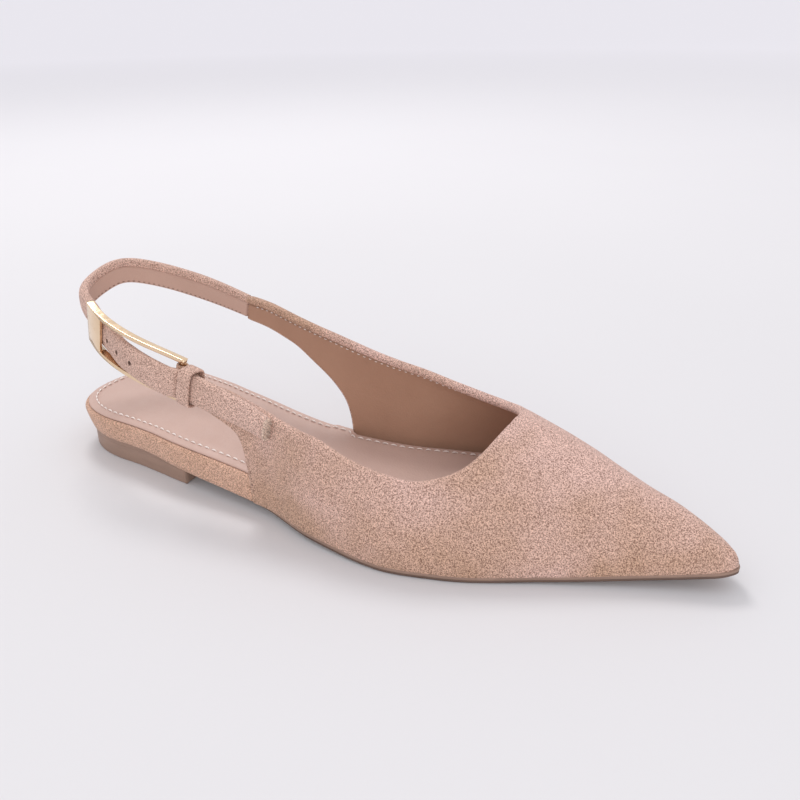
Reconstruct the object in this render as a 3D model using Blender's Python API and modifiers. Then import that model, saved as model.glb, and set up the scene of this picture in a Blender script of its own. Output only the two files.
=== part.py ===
"""Slingback flat for the right foot: pointed vamp with both quarters, low heel, padded heel strap and buckle.

Metres. +X points to the toe, +Y to the inner side (big toe), +Z up. Stations are measured along the sole
from its rear end. The origin lies on the heel block's flat underside.
"""
import math

import bmesh
import bpy
import numpy as np

# Driving dimensions
LENGTH = 0.265              # outsole, rear end to tip
HEEL_WIDTH = 0.0536         # outsole across the heel seat
WAIST_WIDTH = 0.0486        # outsole across the waist
BALL_WIDTH = 0.0740         # outsole across the ball
INSTEP_HEIGHT = 0.0395      # ridge of the vamp above the outsole, at the throat
HEEL_HEIGHT = 0.0067        # floor to the underside of the heel seat
TOE_SPRING = 0.0062         # floor to the underside of the tip
BALL_STATION = 0.1657       # where the outsole meets the floor
SPRING_STATION = 0.185      # where it leaves the floor again
SEAT_STATION = 0.052        # where the level heel seat ends
ORIGIN_STATION = 0.034      # origin, from the rear end
HEEL_ROUND = 0.034          # length of the round at the rear end
HEEL_SQUARE = 2.3           # how square that round is, 2 for an ellipse
TOE_ROUND = 0.006           # length of the round at the tip
ARCH_FALL = 1.6             # how soon the arch comes down to the ball
ARCH_HOLD = 0.6             # how level it leaves the heel seat
RIDGE_SHIFT = 0.0050        # ridge of the last towards the inner side
TOE_SET = 0.0004            # upper's toe back from the outsole's tip

OUTSOLE = 0.0022            # thickness of the outsole
HEEL_INSET = 0.0017         # heel block in from the sole's plan, and the outsole with it above the block
RAND_FOOT = 0.0014          # foot of the footbed's side in from the plan, at the rear end
RAND_FLARE = 0.0010         # top of the footbed's side out from the plan, round the heel
HEEL_BREAST = 0.0673        # station of the heel block's front face
BOARD_HEEL = 0.0084         # footbed thickness at the heel
BOARD_BALL = 0.0064         # footbed thickness at the ball
BOARD_TOE = 0.0030          # footbed thickness at the tip
BOARD_THINS = 0.25, 0.62    # shares of LENGTH between which it thins from heel to ball
BOARD_ENDS = 0.66           # share of LENGTH from which it thins to the tip
SOCK = 0.0012               # thickness of the insole lining
SOCK_INSET = 0.0004         # sock in from the footbed's edge
EDGE_ROUND = 0.0010         # rounding of the footbed's top edge
EDGE_CURVE = 0.3            # middle of that rounding, as its share
EDGE_MOST = 0.25            # most of a narrow end that it takes
STEP_RUN = 0.00002          # length of the step where the footbed goes inside the quarters
RAND_UP = 0.10              # height on the last below which the footbed's side shows

WALL = 0.0020               # upper's wall, suede, backing and lining
TOPLINE = 0.0030            # upper's wall at the padded, folded topline
TOPLINE_BAND = 0.16         # share of a rib's height that the padding takes
FOLD_WALL = 0.0010          # upper's wall where it folds round the buckle's end bar
FOLD_WIDTH = 0.0116         # upper's width there
FOLD_RETURN = 0.0050        # length of the fold behind the end bar
CLEARANCE = 0.0003          # gap between pieces that touch
BOARD_PLAY = 0.0012         # gap between the footbed and the inside of the upper
BOARD_TIP = 0.0080          # gap between the footbed's tip and the inside of the toe

STRAP_SEAM = 0.0092         # strap's width at the inner-side seam
STRAP_HEEL = 0.0103         # strap's width round the heel
STRAP_BUCKLE = 0.0115       # strap's width in the buckle
STRAP_END = 0.0088          # strap's width at the free end
STRAP_THICK = 0.0028        # strap, at its crown
STRAP_PAD = 0.0034          # strap, at its crown round the heel
STRAP_GROWN = 0.030         # length from the seam in which it grows to that
STRAP_EDGE = 0.0014         # strap, at its edges
HOLE_RADIUS = 0.0009        # adjusting holes
HOLE_PITCH = 0.0086         # adjusting holes, centre to centre
FRAME_LENGTH = 0.0538       # buckle, from its plate's end to its end bar, along the strap
FRAME_OPENING = 0.0138      # buckle's window, across
FRAME_BAR = 0.0016          # buckle's long bars, across
FRAME_THICK = 0.0028        # buckle's long bars, their depth
PLATE_THICK = 0.0012        # buckle's plate, flush with the bars' outside
FRAME_PLATE = 0.0120        # buckle's broad plate, along the strap
END_BAR = 0.0008            # half the width and half the depth of the buckle's end bar
STUD_HEAD = 0.0006          # how far the stud stands out behind the strap
STUD_PLACE = 0.55           # stud's place along the plate, as its share
HOLES = 4                   # adjusting holes, with the one that takes the stud
KEEPER_WIDTH = 0.0060       # keeper, along the strap
KEEPER_OPENING = 0.0125     # keeper's inside, across the strap
KEEPER_CORNER = 0.0012      # keeper's inside corners
KEEPER_THICK = 0.0010       # keeper's wall
IN_RUN = 0.018              # length in which the strap leaves its own line and goes in under the plate
OUT_RUN = 0.016             # length from the plate in which it comes to the frame's level
OVER_RUN = 0.004            # length before the end bar where it lies on the fold's level
CLOSING = 0.0024            # length behind the end bar in which the fold comes together
SAG_IN = 0.0002             # strap below the frame's middle line, under the plate's end
SAG_OUT = 0.0006            # strap below it, in the window
SAG_BAR = 0.0002            # strap below it, at the end bar
STRAP_LEAN = -0.06, 0.12    # outward lean of the strap's upper edge, at the seam and at the free end
SEAM_GAP = 0.0008           # strap's end from the middle of the inner quarter's rear edge

ROWS = 65                   # stations along a sole piece
HEEL_ROWS = 40              # stations along the heel block
PLAN_STEPS = 400            # stations that the plan is read at
CROWDING = 0.04             # first angle of the stations, which crowd at the ends
FINER = 4                   # how much finer the footbed's outlines are read than its stations
STRAP_ROWS = 74             # sections of the strap
FRAME_STEPS = 14            # steps along a long bar of the buckle
ROD_SIDES = 16              # sides of a hole or a stud
CORNER_POINTS = 4           # points round a corner of the keeper
LINE_STEPS = 900            # points on the strap's line
PROBE = 0.002               # step, in shares, for slopes on the last
OUTER, INNER = -1, 1        # sides of the shoe: little toe, big toe

# Each table starts with the names of its columns.

# Plan of the sole: station as a share of LENGTH, the width it follows, outer and inner half as its shares
PLAN = (
    ("station", "width", "outer", "inner"),
    (0.00, HEEL_WIDTH, 0.470, 0.576),
    (0.12, HEEL_WIDTH, 0.475, 0.530),
    (0.25, HEEL_WIDTH, 0.545, 0.425),
    (0.40, WAIST_WIDTH, 0.665, 0.385),
    (0.50, BALL_WIDTH, 0.534, 0.305),
    (0.60, BALL_WIDTH, 0.576, 0.423),
    (0.68, BALL_WIDTH, 0.519, 0.485),
    (0.80, BALL_WIDTH, 0.330, 0.412),
    (0.90, BALL_WIDTH, 0.176, 0.261),
    (1.00, BALL_WIDTH, 0.042, 0.072),
)

# Sections of the last. Station as a share of LENGTH, ridge as a share of INSTEP_HEIGHT, overhang of the outer
# and inner wall as shares of BALL_WIDTH, and how far the wall stays upright and the top stays level.
# Behind the throat the ridge is only where the foot would be.
SECTIONS = (
    ("station", "crown", "outer_bulge", "inner_bulge", "upright", "level"),
    (0.18, 2.348, 0.000, 0.081, 0.75, 0.70),
    (0.30, 2.021, 0.027, 0.129, 0.80, 0.70),
    (0.40, 1.795, 0.040, 0.131, 0.80, 0.70),
    (0.50, 1.592, 0.027, 0.107, 0.72, 0.65),
    (0.60, 1.340, 0.020, 0.072, 0.60, 0.54),
    (0.68, 1.085, 0.016, 0.034, 0.57, 0.43),
    (0.72, 1.000, 0.014, 0.022, 0.56, 0.38),
    (0.76, 0.909, 0.013, 0.013, 0.56, 0.35),
    (0.80, 0.795, 0.011, 0.011, 0.55, 0.35),
    (0.84, 0.660, 0.008, 0.008, 0.55, 0.35),
    (0.88, 0.530, 0.007, 0.007, 0.55, 0.35),
    (0.92, 0.420, 0.006, 0.006, 0.55, 0.38),
    (0.95, 0.305, 0.004, 0.004, 0.55, 0.40),
    (0.98, 0.150, 0.003, 0.003, 0.55, 0.45),
)

# Edge of the sole along the shoe. Station as a share of LENGTH, the outsole's thickness as a share of
# OUTSOLE, its edge moved in as a share of HEEL_INSET, the foot of the footbed's side in as a share of
# RAND_FOOT and its top out as a share of RAND_FLARE. The suede covers the outsole's edge through the waist.
SOLE_EDGE = (
    ("station", "outsole", "inset", "rand_foot", "rand_top"),
    (0.00, 0.75, 1.00, 1.00, 1.00),
    (0.08, 0.75, 1.00, 0.70, 1.00),
    (0.16, 0.75, 1.00, 0.60, 1.00),
    (0.25, 0.35, 1.00, 0.30, 0.80),
    (0.37, 0.30, 0.60, 0.00, 0.00),
    (0.44, 0.60, 0.20, 0.00, 0.00),
    (0.52, 1.00, 0.00, 0.00, 0.00),
    (1.00, 1.00, 0.00, 0.00, 0.00),
)
RIDGE_END = 0.983           # where the ridge meets the toe, share of LENGTH
RIDGE_TURN = 0.78           # where the ridge begins to turn to the middle of the toe
RIDGE_BEND = 0.85           # where the ribs begin to fan round the toe
TOE_TURN = 0.95             # where the upper begins to draw back from the outsole's tip

# Ribs of the upper, from the strap's end to the throat: lower end and upper end, each as a station (share of
# LENGTH) and a height on the last (0 at the sole, 1 at the ridge). The lower ends run along the strap's
# lower edge, down the quarter's rear edge and along the sole.
OUTER_RIBS = (
    ("low_station", "low", "top_station", "top"),
    (0.312, 0.181, 0.312, 0.268),
    (0.333, 0.177, 0.338, 0.271),
    (0.352, 0.173, 0.372, 0.270),
    (0.369, 0.163, 0.405, 0.271),
    (0.380, 0.130, 0.438, 0.277),
    (0.385, 0.066, 0.472, 0.295),
    (0.388, -0.009, 0.509, 0.320),
    (0.450, -0.003, 0.545, 0.328),
    (0.520, 0.000, 0.590, 0.354),
    (0.580, 0.000, 0.638, 0.385),
    (0.622, 0.000, 0.665, 0.440),
    (0.656, 0.000, 0.692, 0.545),
    (0.681, 0.000, 0.707, 0.690),
    (0.700, 0.000, 0.714, 0.860),
    (0.711, 0.000, 0.717, 1.000),
)
INNER_RIBS = (
    ("low_station", "low", "top_station", "top"),
    (0.2385, 0.254, 0.2485, 0.340),
    (0.280, 0.258, 0.300, 0.359),
    (0.325, 0.254, 0.350, 0.368),
    (0.368, 0.220, 0.398, 0.377),
    (0.401, 0.180, 0.434, 0.383),
    (0.423, 0.128, 0.471, 0.391),
    (0.433, 0.062, 0.509, 0.408),
    (0.437, -0.005, 0.549, 0.436),
    (0.494, 0.000, 0.594, 0.462),
    (0.554, 0.000, 0.636, 0.505),
    (0.606, 0.000, 0.667, 0.575),
    (0.648, 0.000, 0.690, 0.666),
    (0.677, 0.000, 0.705, 0.775),
    (0.699, 0.000, 0.714, 0.880),
    (0.711, 0.000, 0.717, 1.000),
)
TOE_RIBS = (
    ("low_station", "low", "top_station", "top"),
    (0.750, 0.000, 0.753, 1.000),
    (0.800, 0.000, 0.800, 1.000),
    (0.860, 0.000, 0.860, 1.000),
    (0.920, 0.000, 0.920, 1.000),
    (0.965, 0.000, 0.965, 1.000),
    (1.000, 0.000, 1.000, 1.000),
)
RIBS_BETWEEN = 3            # steps from one row of ribs to the next
RIB_STEPS = 11              # steps up a rib
PADDING_ENDS = 4            # rows of ribs before the throat where the topline's padding begins to end
FOLD_STEP = 30              # degrees from one line of the fold to the next
SAME_POINT = 1e-6           # points of the upper's two sides that lie closer are one

# Way of the heel strap round the heel, as its middle line: station as a share of LENGTH, side as a share of
# HEEL_WIDTH, height as a share of INSTEP_HEIGHT. It starts at the inner-side seam. Before BAR_STATION it is
# the buckle's own middle line.
STRAP_ROUTE = (
    ("station", "side", "height"),
    (0.177, 0.466, 1.506),
    (0.118, 0.431, 1.590),
    (0.063, 0.340, 1.672),
    (0.029, 0.198, 1.704),
    (0.018, 0.022, 1.641),
    (0.028, -0.164, 1.580),
    (0.049, -0.276, 1.527),
    (0.075, -0.358, 1.471),
    (0.104, -0.431, 1.413),
    (0.151, -0.500, 1.329),
    (0.200, -0.524, 1.251),
    (0.249, -0.522, 1.180),
)
# Where the strap's end lies on the outer quarter: station as a share of LENGTH, height on the last
STRAP_ON_QUARTER = (
    ("station", "height"),
    (0.288, 0.226),
    (0.325, 0.231),
    (0.360, 0.234),
    (0.400, 0.236),
    (0.430, 0.240),
)
BAR_STATION = 0.271         # station of the buckle's end bar, on the outer side, as a share of LENGTH


def column(table, name):
    """One column of a table, by its name."""
    place = table[0].index(name)
    return np.array([row[place] for row in table[1:]], float)


def ease(table, name, at):
    """A column of a table at any place of its first column, on a smooth curve that never overshoots."""
    return monotone(column(table, table[0][0]), column(table, name), at)


def monotone(x, y, at):
    """Cubic curve through points that keeps their rises and falls."""
    step = np.diff(x)
    slope = np.diff(y) / step
    tangent = np.zeros_like(y)
    tangent[0], tangent[-1] = slope[0], slope[-1]
    for i in range(1, len(x) - 1):
        if slope[i - 1] * slope[i] > 0:
            left, right = 2 * step[i] + step[i - 1], step[i] + 2 * step[i - 1]
            tangent[i] = (left + right) / (left / slope[i - 1] + right / slope[i])
    at = np.clip(np.asarray(at, float), x[0], x[-1])
    i = np.clip(np.searchsorted(x, at, side="right") - 1, 0, len(step) - 1)
    s = (at - x[i]) / step[i]
    return ((2 * s**3 - 3 * s**2 + 1) * y[i] + (s**3 - 2 * s**2 + s) * step[i] * tangent[i]
            + (3 * s**2 - 2 * s**3) * y[i + 1] + (s**3 - s**2) * step[i] * tangent[i + 1])


def blend(low, high, at):
    """0 below low, 1 above high, smooth between."""
    s = np.clip((np.asarray(at, float) - low) / (high - low), 0, 1)
    return s * s * (3 - 2 * s)


def unit(vector):
    return vector / np.linalg.norm(vector)


def placed(points):
    """Stations along the sole to the object's frame."""
    return np.asarray(points, float) - (ORIGIN_STATION, 0, 0)


# Sole: plan and height
def half_width(side, station):
    """Outline of the outsole on one side, round at both ends."""
    x = column(PLAN, "station") * LENGTH
    y = column(PLAN, "width") * column(PLAN, "outer" if side == OUTER else "inner")
    heel = np.clip(station / HEEL_ROUND, 0, 1)
    toe = np.clip((LENGTH - station) / TOE_ROUND, 0, 1)
    rear_round = (1 - (1 - heel) ** HEEL_SQUARE) ** (1 / HEEL_SQUARE)
    front_round = np.sqrt(1 - (1 - toe) ** 2)
    return monotone(x, y, station) * rear_round * front_round


def underside(station):
    """Height of the outsole's underside: level seat, arch, flat at the ball, toe spring."""
    down = np.clip((station - SEAT_STATION) / (BALL_STATION - SEAT_STATION), 0, 1)
    up = np.clip((station - SPRING_STATION) / (LENGTH - SPRING_STATION), 0, 1)
    return HEEL_HEIGHT * (1 - down) ** ARCH_FALL * (1 + ARCH_HOLD * down) + TOE_SPRING * up**2


def feather(station):
    """Height from which the last and the footbed are measured."""
    return underside(station) + OUTSOLE + CLEARANCE


def sole_edge(name, station):
    """One of the shares of the sole's edge at a station."""
    return ease(SOLE_EDGE, name, station / LENGTH)


def outsole_top(station):
    return underside(station) + OUTSOLE * sole_edge("outsole", station)


def board_top(station):
    ball = blend(BOARD_THINS[0] * LENGTH, BOARD_THINS[1] * LENGTH, station)
    toe = blend(BOARD_ENDS * LENGTH, LENGTH, station)
    thick = BOARD_HEEL + (BOARD_BALL - BOARD_HEEL) * ball + (BOARD_TOE - BOARD_BALL) * toe
    return feather(station) + thick


def stations(start, end, count):
    """Stations that crowd towards both ends, where the outline is round."""
    angle = np.linspace(CROWDING, math.pi - CROWDING, count)
    return start + (end - start) * (1 - np.cos(angle)) / 2


def outline(inset, start=0.0, end=LENGTH, count=ROWS):
    """Outer and inner edge of the sole's plan, moved in by inset, as two rows of points.

    The inset is a size or a function of the station.
    """
    x = stations(0.0, LENGTH, PLAN_STEPS)
    line = np.concatenate([np.stack([x[::-1], -half_width(OUTER, x[::-1])], 1),
                           np.stack([x, half_width(INNER, x)], 1)])
    along = np.roll(line, -1, 0) - np.roll(line, 1, 0)
    normal = np.stack([along[:, 1], -along[:, 0]], 1)
    normal /= np.linalg.norm(normal, axis=1)[:, None]
    depth = inset(line[:, 0]) if callable(inset) else np.full(len(line), inset)
    moved = line - normal * depth[:, None] * np.sign(normal[PLAN_STEPS * 3 // 2, 1])
    outer, inner = moved[:PLAN_STEPS][::-1], moved[PLAN_STEPS:]
    low, high = max(start, depth[PLAN_STEPS]), min(end, LENGTH - depth[0])
    x = stations(low, high, count)
    rows = []
    for half in (outer, inner):
        order = np.argsort(half[:, 0])
        rows.append(np.stack([x, np.interp(x, half[order, 0], half[order, 1])], 1))
    return rows


# The last
def ridge_side(share):
    """How far the ridge lies to the inner side. At the toe it runs to the middle of the sole."""
    middle = (half_width(INNER, share * LENGTH) - half_width(OUTER, share * LENGTH)) / 2
    toe = blend(RIDGE_TURN, RIDGE_END, share)
    return RIDGE_SHIFT * (1 - toe) + middle * toe


def rib(side, share):
    """Curve of the last from the feather up to the ridge, as four control points."""
    station = share * LENGTH
    back = TOE_SET * blend(TOE_TURN, 1, share)
    foot = np.array([station - back, side * half_width(side, station), feather(station)])
    fan = np.clip((share - RIDGE_BEND) / (1 - RIDGE_BEND), 0, 1) ** 2
    top = share - (1 - RIDGE_END) * fan
    crown = ease(SECTIONS, "crown", top) * INSTEP_HEIGHT
    ridge = np.array([top * LENGTH, ridge_side(top), feather(top * LENGTH) + crown])
    fall = ease(SECTIONS, "crown", top + PROBE) - ease(SECTIONS, "crown", top - PROBE)
    fall *= INSTEP_HEIGHT / (2 * PROBE * LENGTH)
    bulge = ease(SECTIONS, "outer_bulge" if side == OUTER else "inner_bulge", share) * BALL_WIDTH
    run = foot - ridge
    away = unit(np.array([run[0], run[1], 0.0]))
    wall = foot + away * bulge + np.array([0, 0, ease(SECTIONS, "upright", share) * crown])
    level = ridge + ease(SECTIONS, "level", share) * np.array([run[0], run[1], fall * run[0]])
    return foot, wall, level, ridge


def last(side, share, up):
    """Point on the last: share of LENGTH, and 0 at the feather to 1 on the ridge."""
    a, b, c, d = rib(side, share)
    return a * (1 - up) ** 3 + 3 * b * up * (1 - up) ** 2 + 3 * c * up**2 * (1 - up) + d * up**3


def last_normal(side, share, up):
    """Outward normal of the last."""
    along = last(side, share + PROBE, up) - last(side, share - PROBE, up)
    rise = last(side, share, up + PROBE) - last(side, share, up - PROBE)
    return unit(np.cross(along, rise)) * (1 if side == OUTER else -1)


# Way of the strap
def natural(points, count):
    """Smooth curve through points, at even steps of its own length, with those lengths."""
    points = np.asarray(points, float)
    knots = np.concatenate([[0], np.cumsum(np.linalg.norm(np.diff(points, axis=0), axis=1))])
    n = len(points)
    h = np.diff(knots)
    system = np.zeros((n, n))
    right = np.zeros((n, 3))
    system[0, 0] = system[-1, -1] = 1
    for i in range(1, n - 1):
        system[i, i - 1:i + 2] = h[i - 1], 2 * (h[i - 1] + h[i]), h[i]
        right[i] = 6 * ((points[i + 1] - points[i]) / h[i] - (points[i] - points[i - 1]) / h[i - 1])
    bend = np.linalg.solve(system, right)
    t = np.linspace(0, knots[-1], count)
    i = np.clip(np.searchsorted(knots, t, side="right") - 1, 0, n - 2)
    a, b = ((knots[i + 1] - t) / h[i])[:, None], ((t - knots[i]) / h[i])[:, None]
    reach = (h[i] ** 2)[:, None] / 6
    curve = a * points[i] + b * points[i + 1] + reach * ((a**3 - a) * bend[i] + (b**3 - b) * bend[i + 1])
    length = np.concatenate([[0], np.cumsum(np.linalg.norm(np.diff(curve, axis=0), axis=1))])
    return curve, length


# Distances of the layers from the line that strap and buckle share: the fold's outside at the end bar and
# behind it, where its two layers lie together, and the strap's middle on the fold, in the keeper, under the
# plate and in the window
FOLD_AT_BAR = math.hypot(END_BAR, END_BAR) + CLEARANCE + FOLD_WALL
FOLD_CLOSED = CLEARANCE / 2 + FOLD_WALL
BAR_LAYER = FOLD_AT_BAR + CLEARANCE + STRAP_THICK / 2
KEEPER_LAYER = FOLD_CLOSED + CLEARANCE + STRAP_THICK / 2
PLATE_LAYER = FRAME_THICK / 2 - PLATE_THICK - CLEARANCE - STRAP_THICK / 2
WINDOW_LAYER = (PLATE_LAYER + BAR_LAYER) / 2


def strap_base():
    """The line that strap and buckle share, with its lengths and its outward and upward directions."""
    low_at, low_up, top_at, top_up = INNER_RIBS[1]
    seam = (low_at + top_at) / 2, (low_up + top_up) / 2
    rows = [last(INNER, *seam) - last_normal(INNER, *seam) * WALL / 2]
    rows += [np.array(row) * (LENGTH, HEEL_WIDTH, INSTEP_HEIGHT) for row in STRAP_ROUTE[1:]]
    for share, up in STRAP_ON_QUARTER[1:]:
        rows.append(last(OUTER, share, up) - last_normal(OUTER, share, up) * FOLD_CLOSED)
    curve, length = natural(rows, LINE_STEPS)
    along = np.gradient(curve, length, axis=0)
    along /= np.linalg.norm(along, axis=1)[:, None]
    out = np.cross(along, (0, 0, 1.0))
    out *= 1 if out[0, 1] > 0 else -1
    out /= np.linalg.norm(out, axis=1)[:, None]
    out[:, 2] += np.interp(length, (0, length[-1]), STRAP_LEAN)
    out -= along * np.sum(out * along, axis=1)[:, None]
    out /= np.linalg.norm(out, axis=1)[:, None]
    up = np.cross(along, out)
    up *= 1 if up[0, 2] > 0 else -1
    return curve, length, along, out, up


BASE = strap_base()


def base_length(station):
    """Length along the strap's line where it passes a station on the outer side."""
    curve, length = BASE[0], BASE[1]
    outer = np.arange(len(curve)) > np.argmin(curve[:, 0])
    return float(np.interp(station, curve[outer, 0], length[outer]))


def base_point(at, out=0.0, up=0.0):
    """Point beside the strap's line: length along it, distance outward and upward."""
    curve, length, _, outward, upward = BASE
    point, aside, above = [np.array([np.interp(at, length, row) for row in rows.T])
                           for rows in (curve, outward, upward)]
    return point + unit(aside) * out + unit(above) * up


BAR_AT = base_length(BAR_STATION * LENGTH)
PLATE_AT = BAR_AT - FRAME_LENGTH
STUD_AT = PLATE_AT + STUD_PLACE * FRAME_PLATE
PLATE_END = PLATE_AT + FRAME_PLATE
STRAP_LENGTH = float(BASE[1][-1])

# Where the strap lies beside the shared line: length along it, distance outward, distance downward.
# It goes in under the plate, out through the window and over the end bar.
STRAP_PASS = (
    ("length", "out", "down"),
    (0.0, 0.0, 0.0),
    (PLATE_AT - IN_RUN, 0.0, 0.0),
    (PLATE_AT - CLEARANCE, PLATE_LAYER, 0.0),
    (PLATE_END + CLEARANCE, PLATE_LAYER, SAG_IN),
    (PLATE_END + OUT_RUN, WINDOW_LAYER, SAG_OUT),
    (BAR_AT - OVER_RUN, BAR_LAYER, SAG_OUT),
    (BAR_AT + CLEARANCE, BAR_LAYER, SAG_BAR),
    (BAR_AT + CLOSING, KEEPER_LAYER, SAG_BAR),
    (STRAP_LENGTH, KEEPER_LAYER, 0.0),
)
STRAP_WIDTHS = (
    ("length", "width", "crown"),
    (0.0, STRAP_SEAM, STRAP_THICK),
    (STRAP_GROWN, STRAP_HEEL, STRAP_PAD),
    (PLATE_AT - IN_RUN, STRAP_HEEL, STRAP_PAD),
    (PLATE_AT - CLEARANCE, STRAP_BUCKLE, STRAP_THICK),
    (BAR_AT + KEEPER_WIDTH, STRAP_BUCKLE, STRAP_THICK),
    (STRAP_LENGTH, STRAP_END, STRAP_THICK),
)


def strap_point(at, out=0.0, up=0.0):
    """Point beside the strap's own middle line."""
    return base_point(at, ease(STRAP_PASS, "out", at) + out, up - ease(STRAP_PASS, "down", at))


# Looks of the plain pieces: colour and roughness
SUEDE = 0.58, 0.42, 0.36
LINING = 0.60, 0.43, 0.36
SOLE = 0.20, 0.12, 0.085
STACK = 0.23, 0.145, 0.105
GOLD = 0.93, 0.80, 0.62
MATT, SATIN, BRIGHT = 0.9, 0.5, 0.2
SHARP = 40                  # edges sharper than this many degrees stay sharp


# Meshes
def paint(name, colour, roughness, metallic=0.0):
    material = bpy.data.materials.new(name)
    material.use_nodes = True
    shader = material.node_tree.nodes["Principled BSDF"]
    shader.inputs["Base Color"].default_value = (*colour, 1.0)
    shader.inputs["Roughness"].default_value = roughness
    shader.inputs["Metallic"].default_value = metallic
    return material


def finish(name, mesh_maker, colour, roughness, metallic=0.0):
    """One named object from a bmesh, with its own material, its faces pointing out."""
    bmesh.ops.recalc_face_normals(mesh_maker, faces=mesh_maker.faces)
    mesh = bpy.data.meshes.new(name)
    mesh_maker.to_mesh(mesh)
    mesh_maker.free()
    mesh.materials.append(paint(name, colour, roughness, metallic))
    mesh.shade_smooth()
    mesh.set_sharp_from_angle(angle=math.radians(SHARP))
    obj = bpy.data.objects.new(name, mesh)
    PARTS.objects.link(obj)
    return obj


def skin(rings, closed=False):
    """Faces between rings of equal count. An open row of rings gets a cap at each end."""
    maker = bmesh.new()
    loops = [[maker.verts.new(point) for point in placed(ring)] for ring in rings]
    count = len(loops[0])
    pairs = list(zip(loops, loops[1:] + loops[:1])) if closed else list(zip(loops, loops[1:]))
    for one, two in pairs:
        for i in range(count):
            j = (i + 1) % count
            maker.faces.new((one[i], one[j], two[j], two[i]))
    if not closed:
        for loop in (loops[0], loops[-1]):
            for i in range(count // 2 - 1):
                corners = (loop[i], loop[i + 1], loop[count - 2 - i], loop[count - 1 - i])
                maker.faces.new(corners)
    return maker


def slab(outer, inner, low, high, round_top=0.0, foot=None):
    """Plate between two edges, with heights given by functions of the station.

    The foot, where given, is the pair of edges of its underside.
    """
    rings = []
    lower = foot or (outer, inner)
    for a, b, low_a, low_b in zip(outer, inner, *lower):
        across = b - a
        width = np.linalg.norm(across)
        drop = min(round_top, width * EDGE_MOST)
        inset = across / width * drop
        turn, dip = inset * EDGE_CURVE, drop * EDGE_CURVE
        ring = [(*low_a, low(low_a[0])), (*a, high(a[0]) - drop), (*(a + turn), high(a[0]) - dip),
                (*(a + inset), high(a[0])), (*(b - inset), high(b[0])),
                (*(b - turn), high(b[0]) - dip), (*b, high(b[0]) - drop), (*low_b, low(low_b[0]))]
        if not round_top:
            ring = [ring[0], ring[1], ring[6], ring[7]]
        rings.append(ring)
    return skin(rings)


def make_outsole():
    outer, inner = outline(lambda x: HEEL_INSET * sole_edge("inset", x))
    maker = slab(outer, inner, underside, outsole_top)
    return finish("outsole", maker, SOLE, SATIN)


def make_heel_block():
    outer, inner = outline(HEEL_INSET, end=HEEL_BREAST, count=HEEL_ROWS)
    maker = slab(outer, inner, lambda x: 0.0, lambda x: underside(x) - CLEARANCE)
    return finish("heel_block", maker, STACK, SATIN)


def quarter_start(side):
    """Station where a quarter's rear edge comes down past the footbed."""
    ribs = OUTER_RIBS if side == OUTER else INNER_RIBS
    stations_low = column(ribs, "low_station")[column(ribs, "low") < RAND_UP]
    return stations_low.min() * LENGTH - 2 * CLEARANCE


def footbed_edges(inset, extra=0.0):
    """Edges of the footbed: moved in by inset behind the quarters, inside the upper from there on.

    The extra is the sock's, which lies in from the footbed's edge inside the upper too.
    """
    inside = WALL + BOARD_PLAY + extra
    starts = [quarter_start(side) for side in (OUTER, INNER)]
    wide = outline(inset, count=ROWS * FINER)
    narrow = outline(inside, count=ROWS * FINER)
    ends = stations(wide[0][0, 0], LENGTH - inside - BOARD_TIP, ROWS)
    xs = np.unique(np.concatenate([ends, starts, np.array(starts) + STEP_RUN]))
    rows = []
    for k in range(2):
        y_wide = np.interp(xs, wide[k][:, 0], wide[k][:, 1])
        y_narrow = np.interp(xs, narrow[k][:, 0], narrow[k][:, 1])
        rows.append(np.stack([xs, np.where(xs > starts[k] + STEP_RUN / 2, y_narrow, y_wide)], 1))
    return rows


def rand_top(station):
    """How far the footbed's top lies in from the plan. It flares out round the heel."""
    return -RAND_FLARE * sole_edge("rand_top", station)


def make_footbed():
    top = footbed_edges(rand_top)
    foot = footbed_edges(lambda x: RAND_FOOT * sole_edge("rand_foot", x))
    maker = slab(*top, lambda x: outsole_top(x) + CLEARANCE, board_top, EDGE_ROUND, foot)
    return finish("footbed", maker, SUEDE, MATT)


def make_sock():
    outer, inner = footbed_edges(lambda x: rand_top(x) + SOCK_INSET, SOCK_INSET)
    maker = slab(outer, inner, lambda x: board_top(x) + CLEARANCE,
                 lambda x: board_top(x) + CLEARANCE + SOCK, SOCK / 2)
    return finish("sock", maker, LINING, SATIN)


def rib_rows(ribs):
    """Rows of ribs and of the toe with steps between them, evenly spaced between one row and the next."""
    table = np.array(ribs[1:] + TOE_RIBS[1:], float)
    at = np.arange(len(table), dtype=float)
    fine = np.linspace(0, len(table) - 1, (len(table) - 1) * RIBS_BETWEEN + 1)
    return np.stack([monotone(at, table[:, k], fine) for k in range(4)], 1)


def strip(side, rows):
    """Grid of points on the last between the lower and the upper ends of the ribs."""
    grid = []
    for low_at, low_up, top_at, top_up in rows:
        line = []
        for j in range(RIB_STEPS + 1):
            s = j / RIB_STEPS
            line.append(last(side, low_at + (top_at - low_at) * s, low_up + (top_up - low_up) * s))
        grid.append(line)
    return grid


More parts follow.
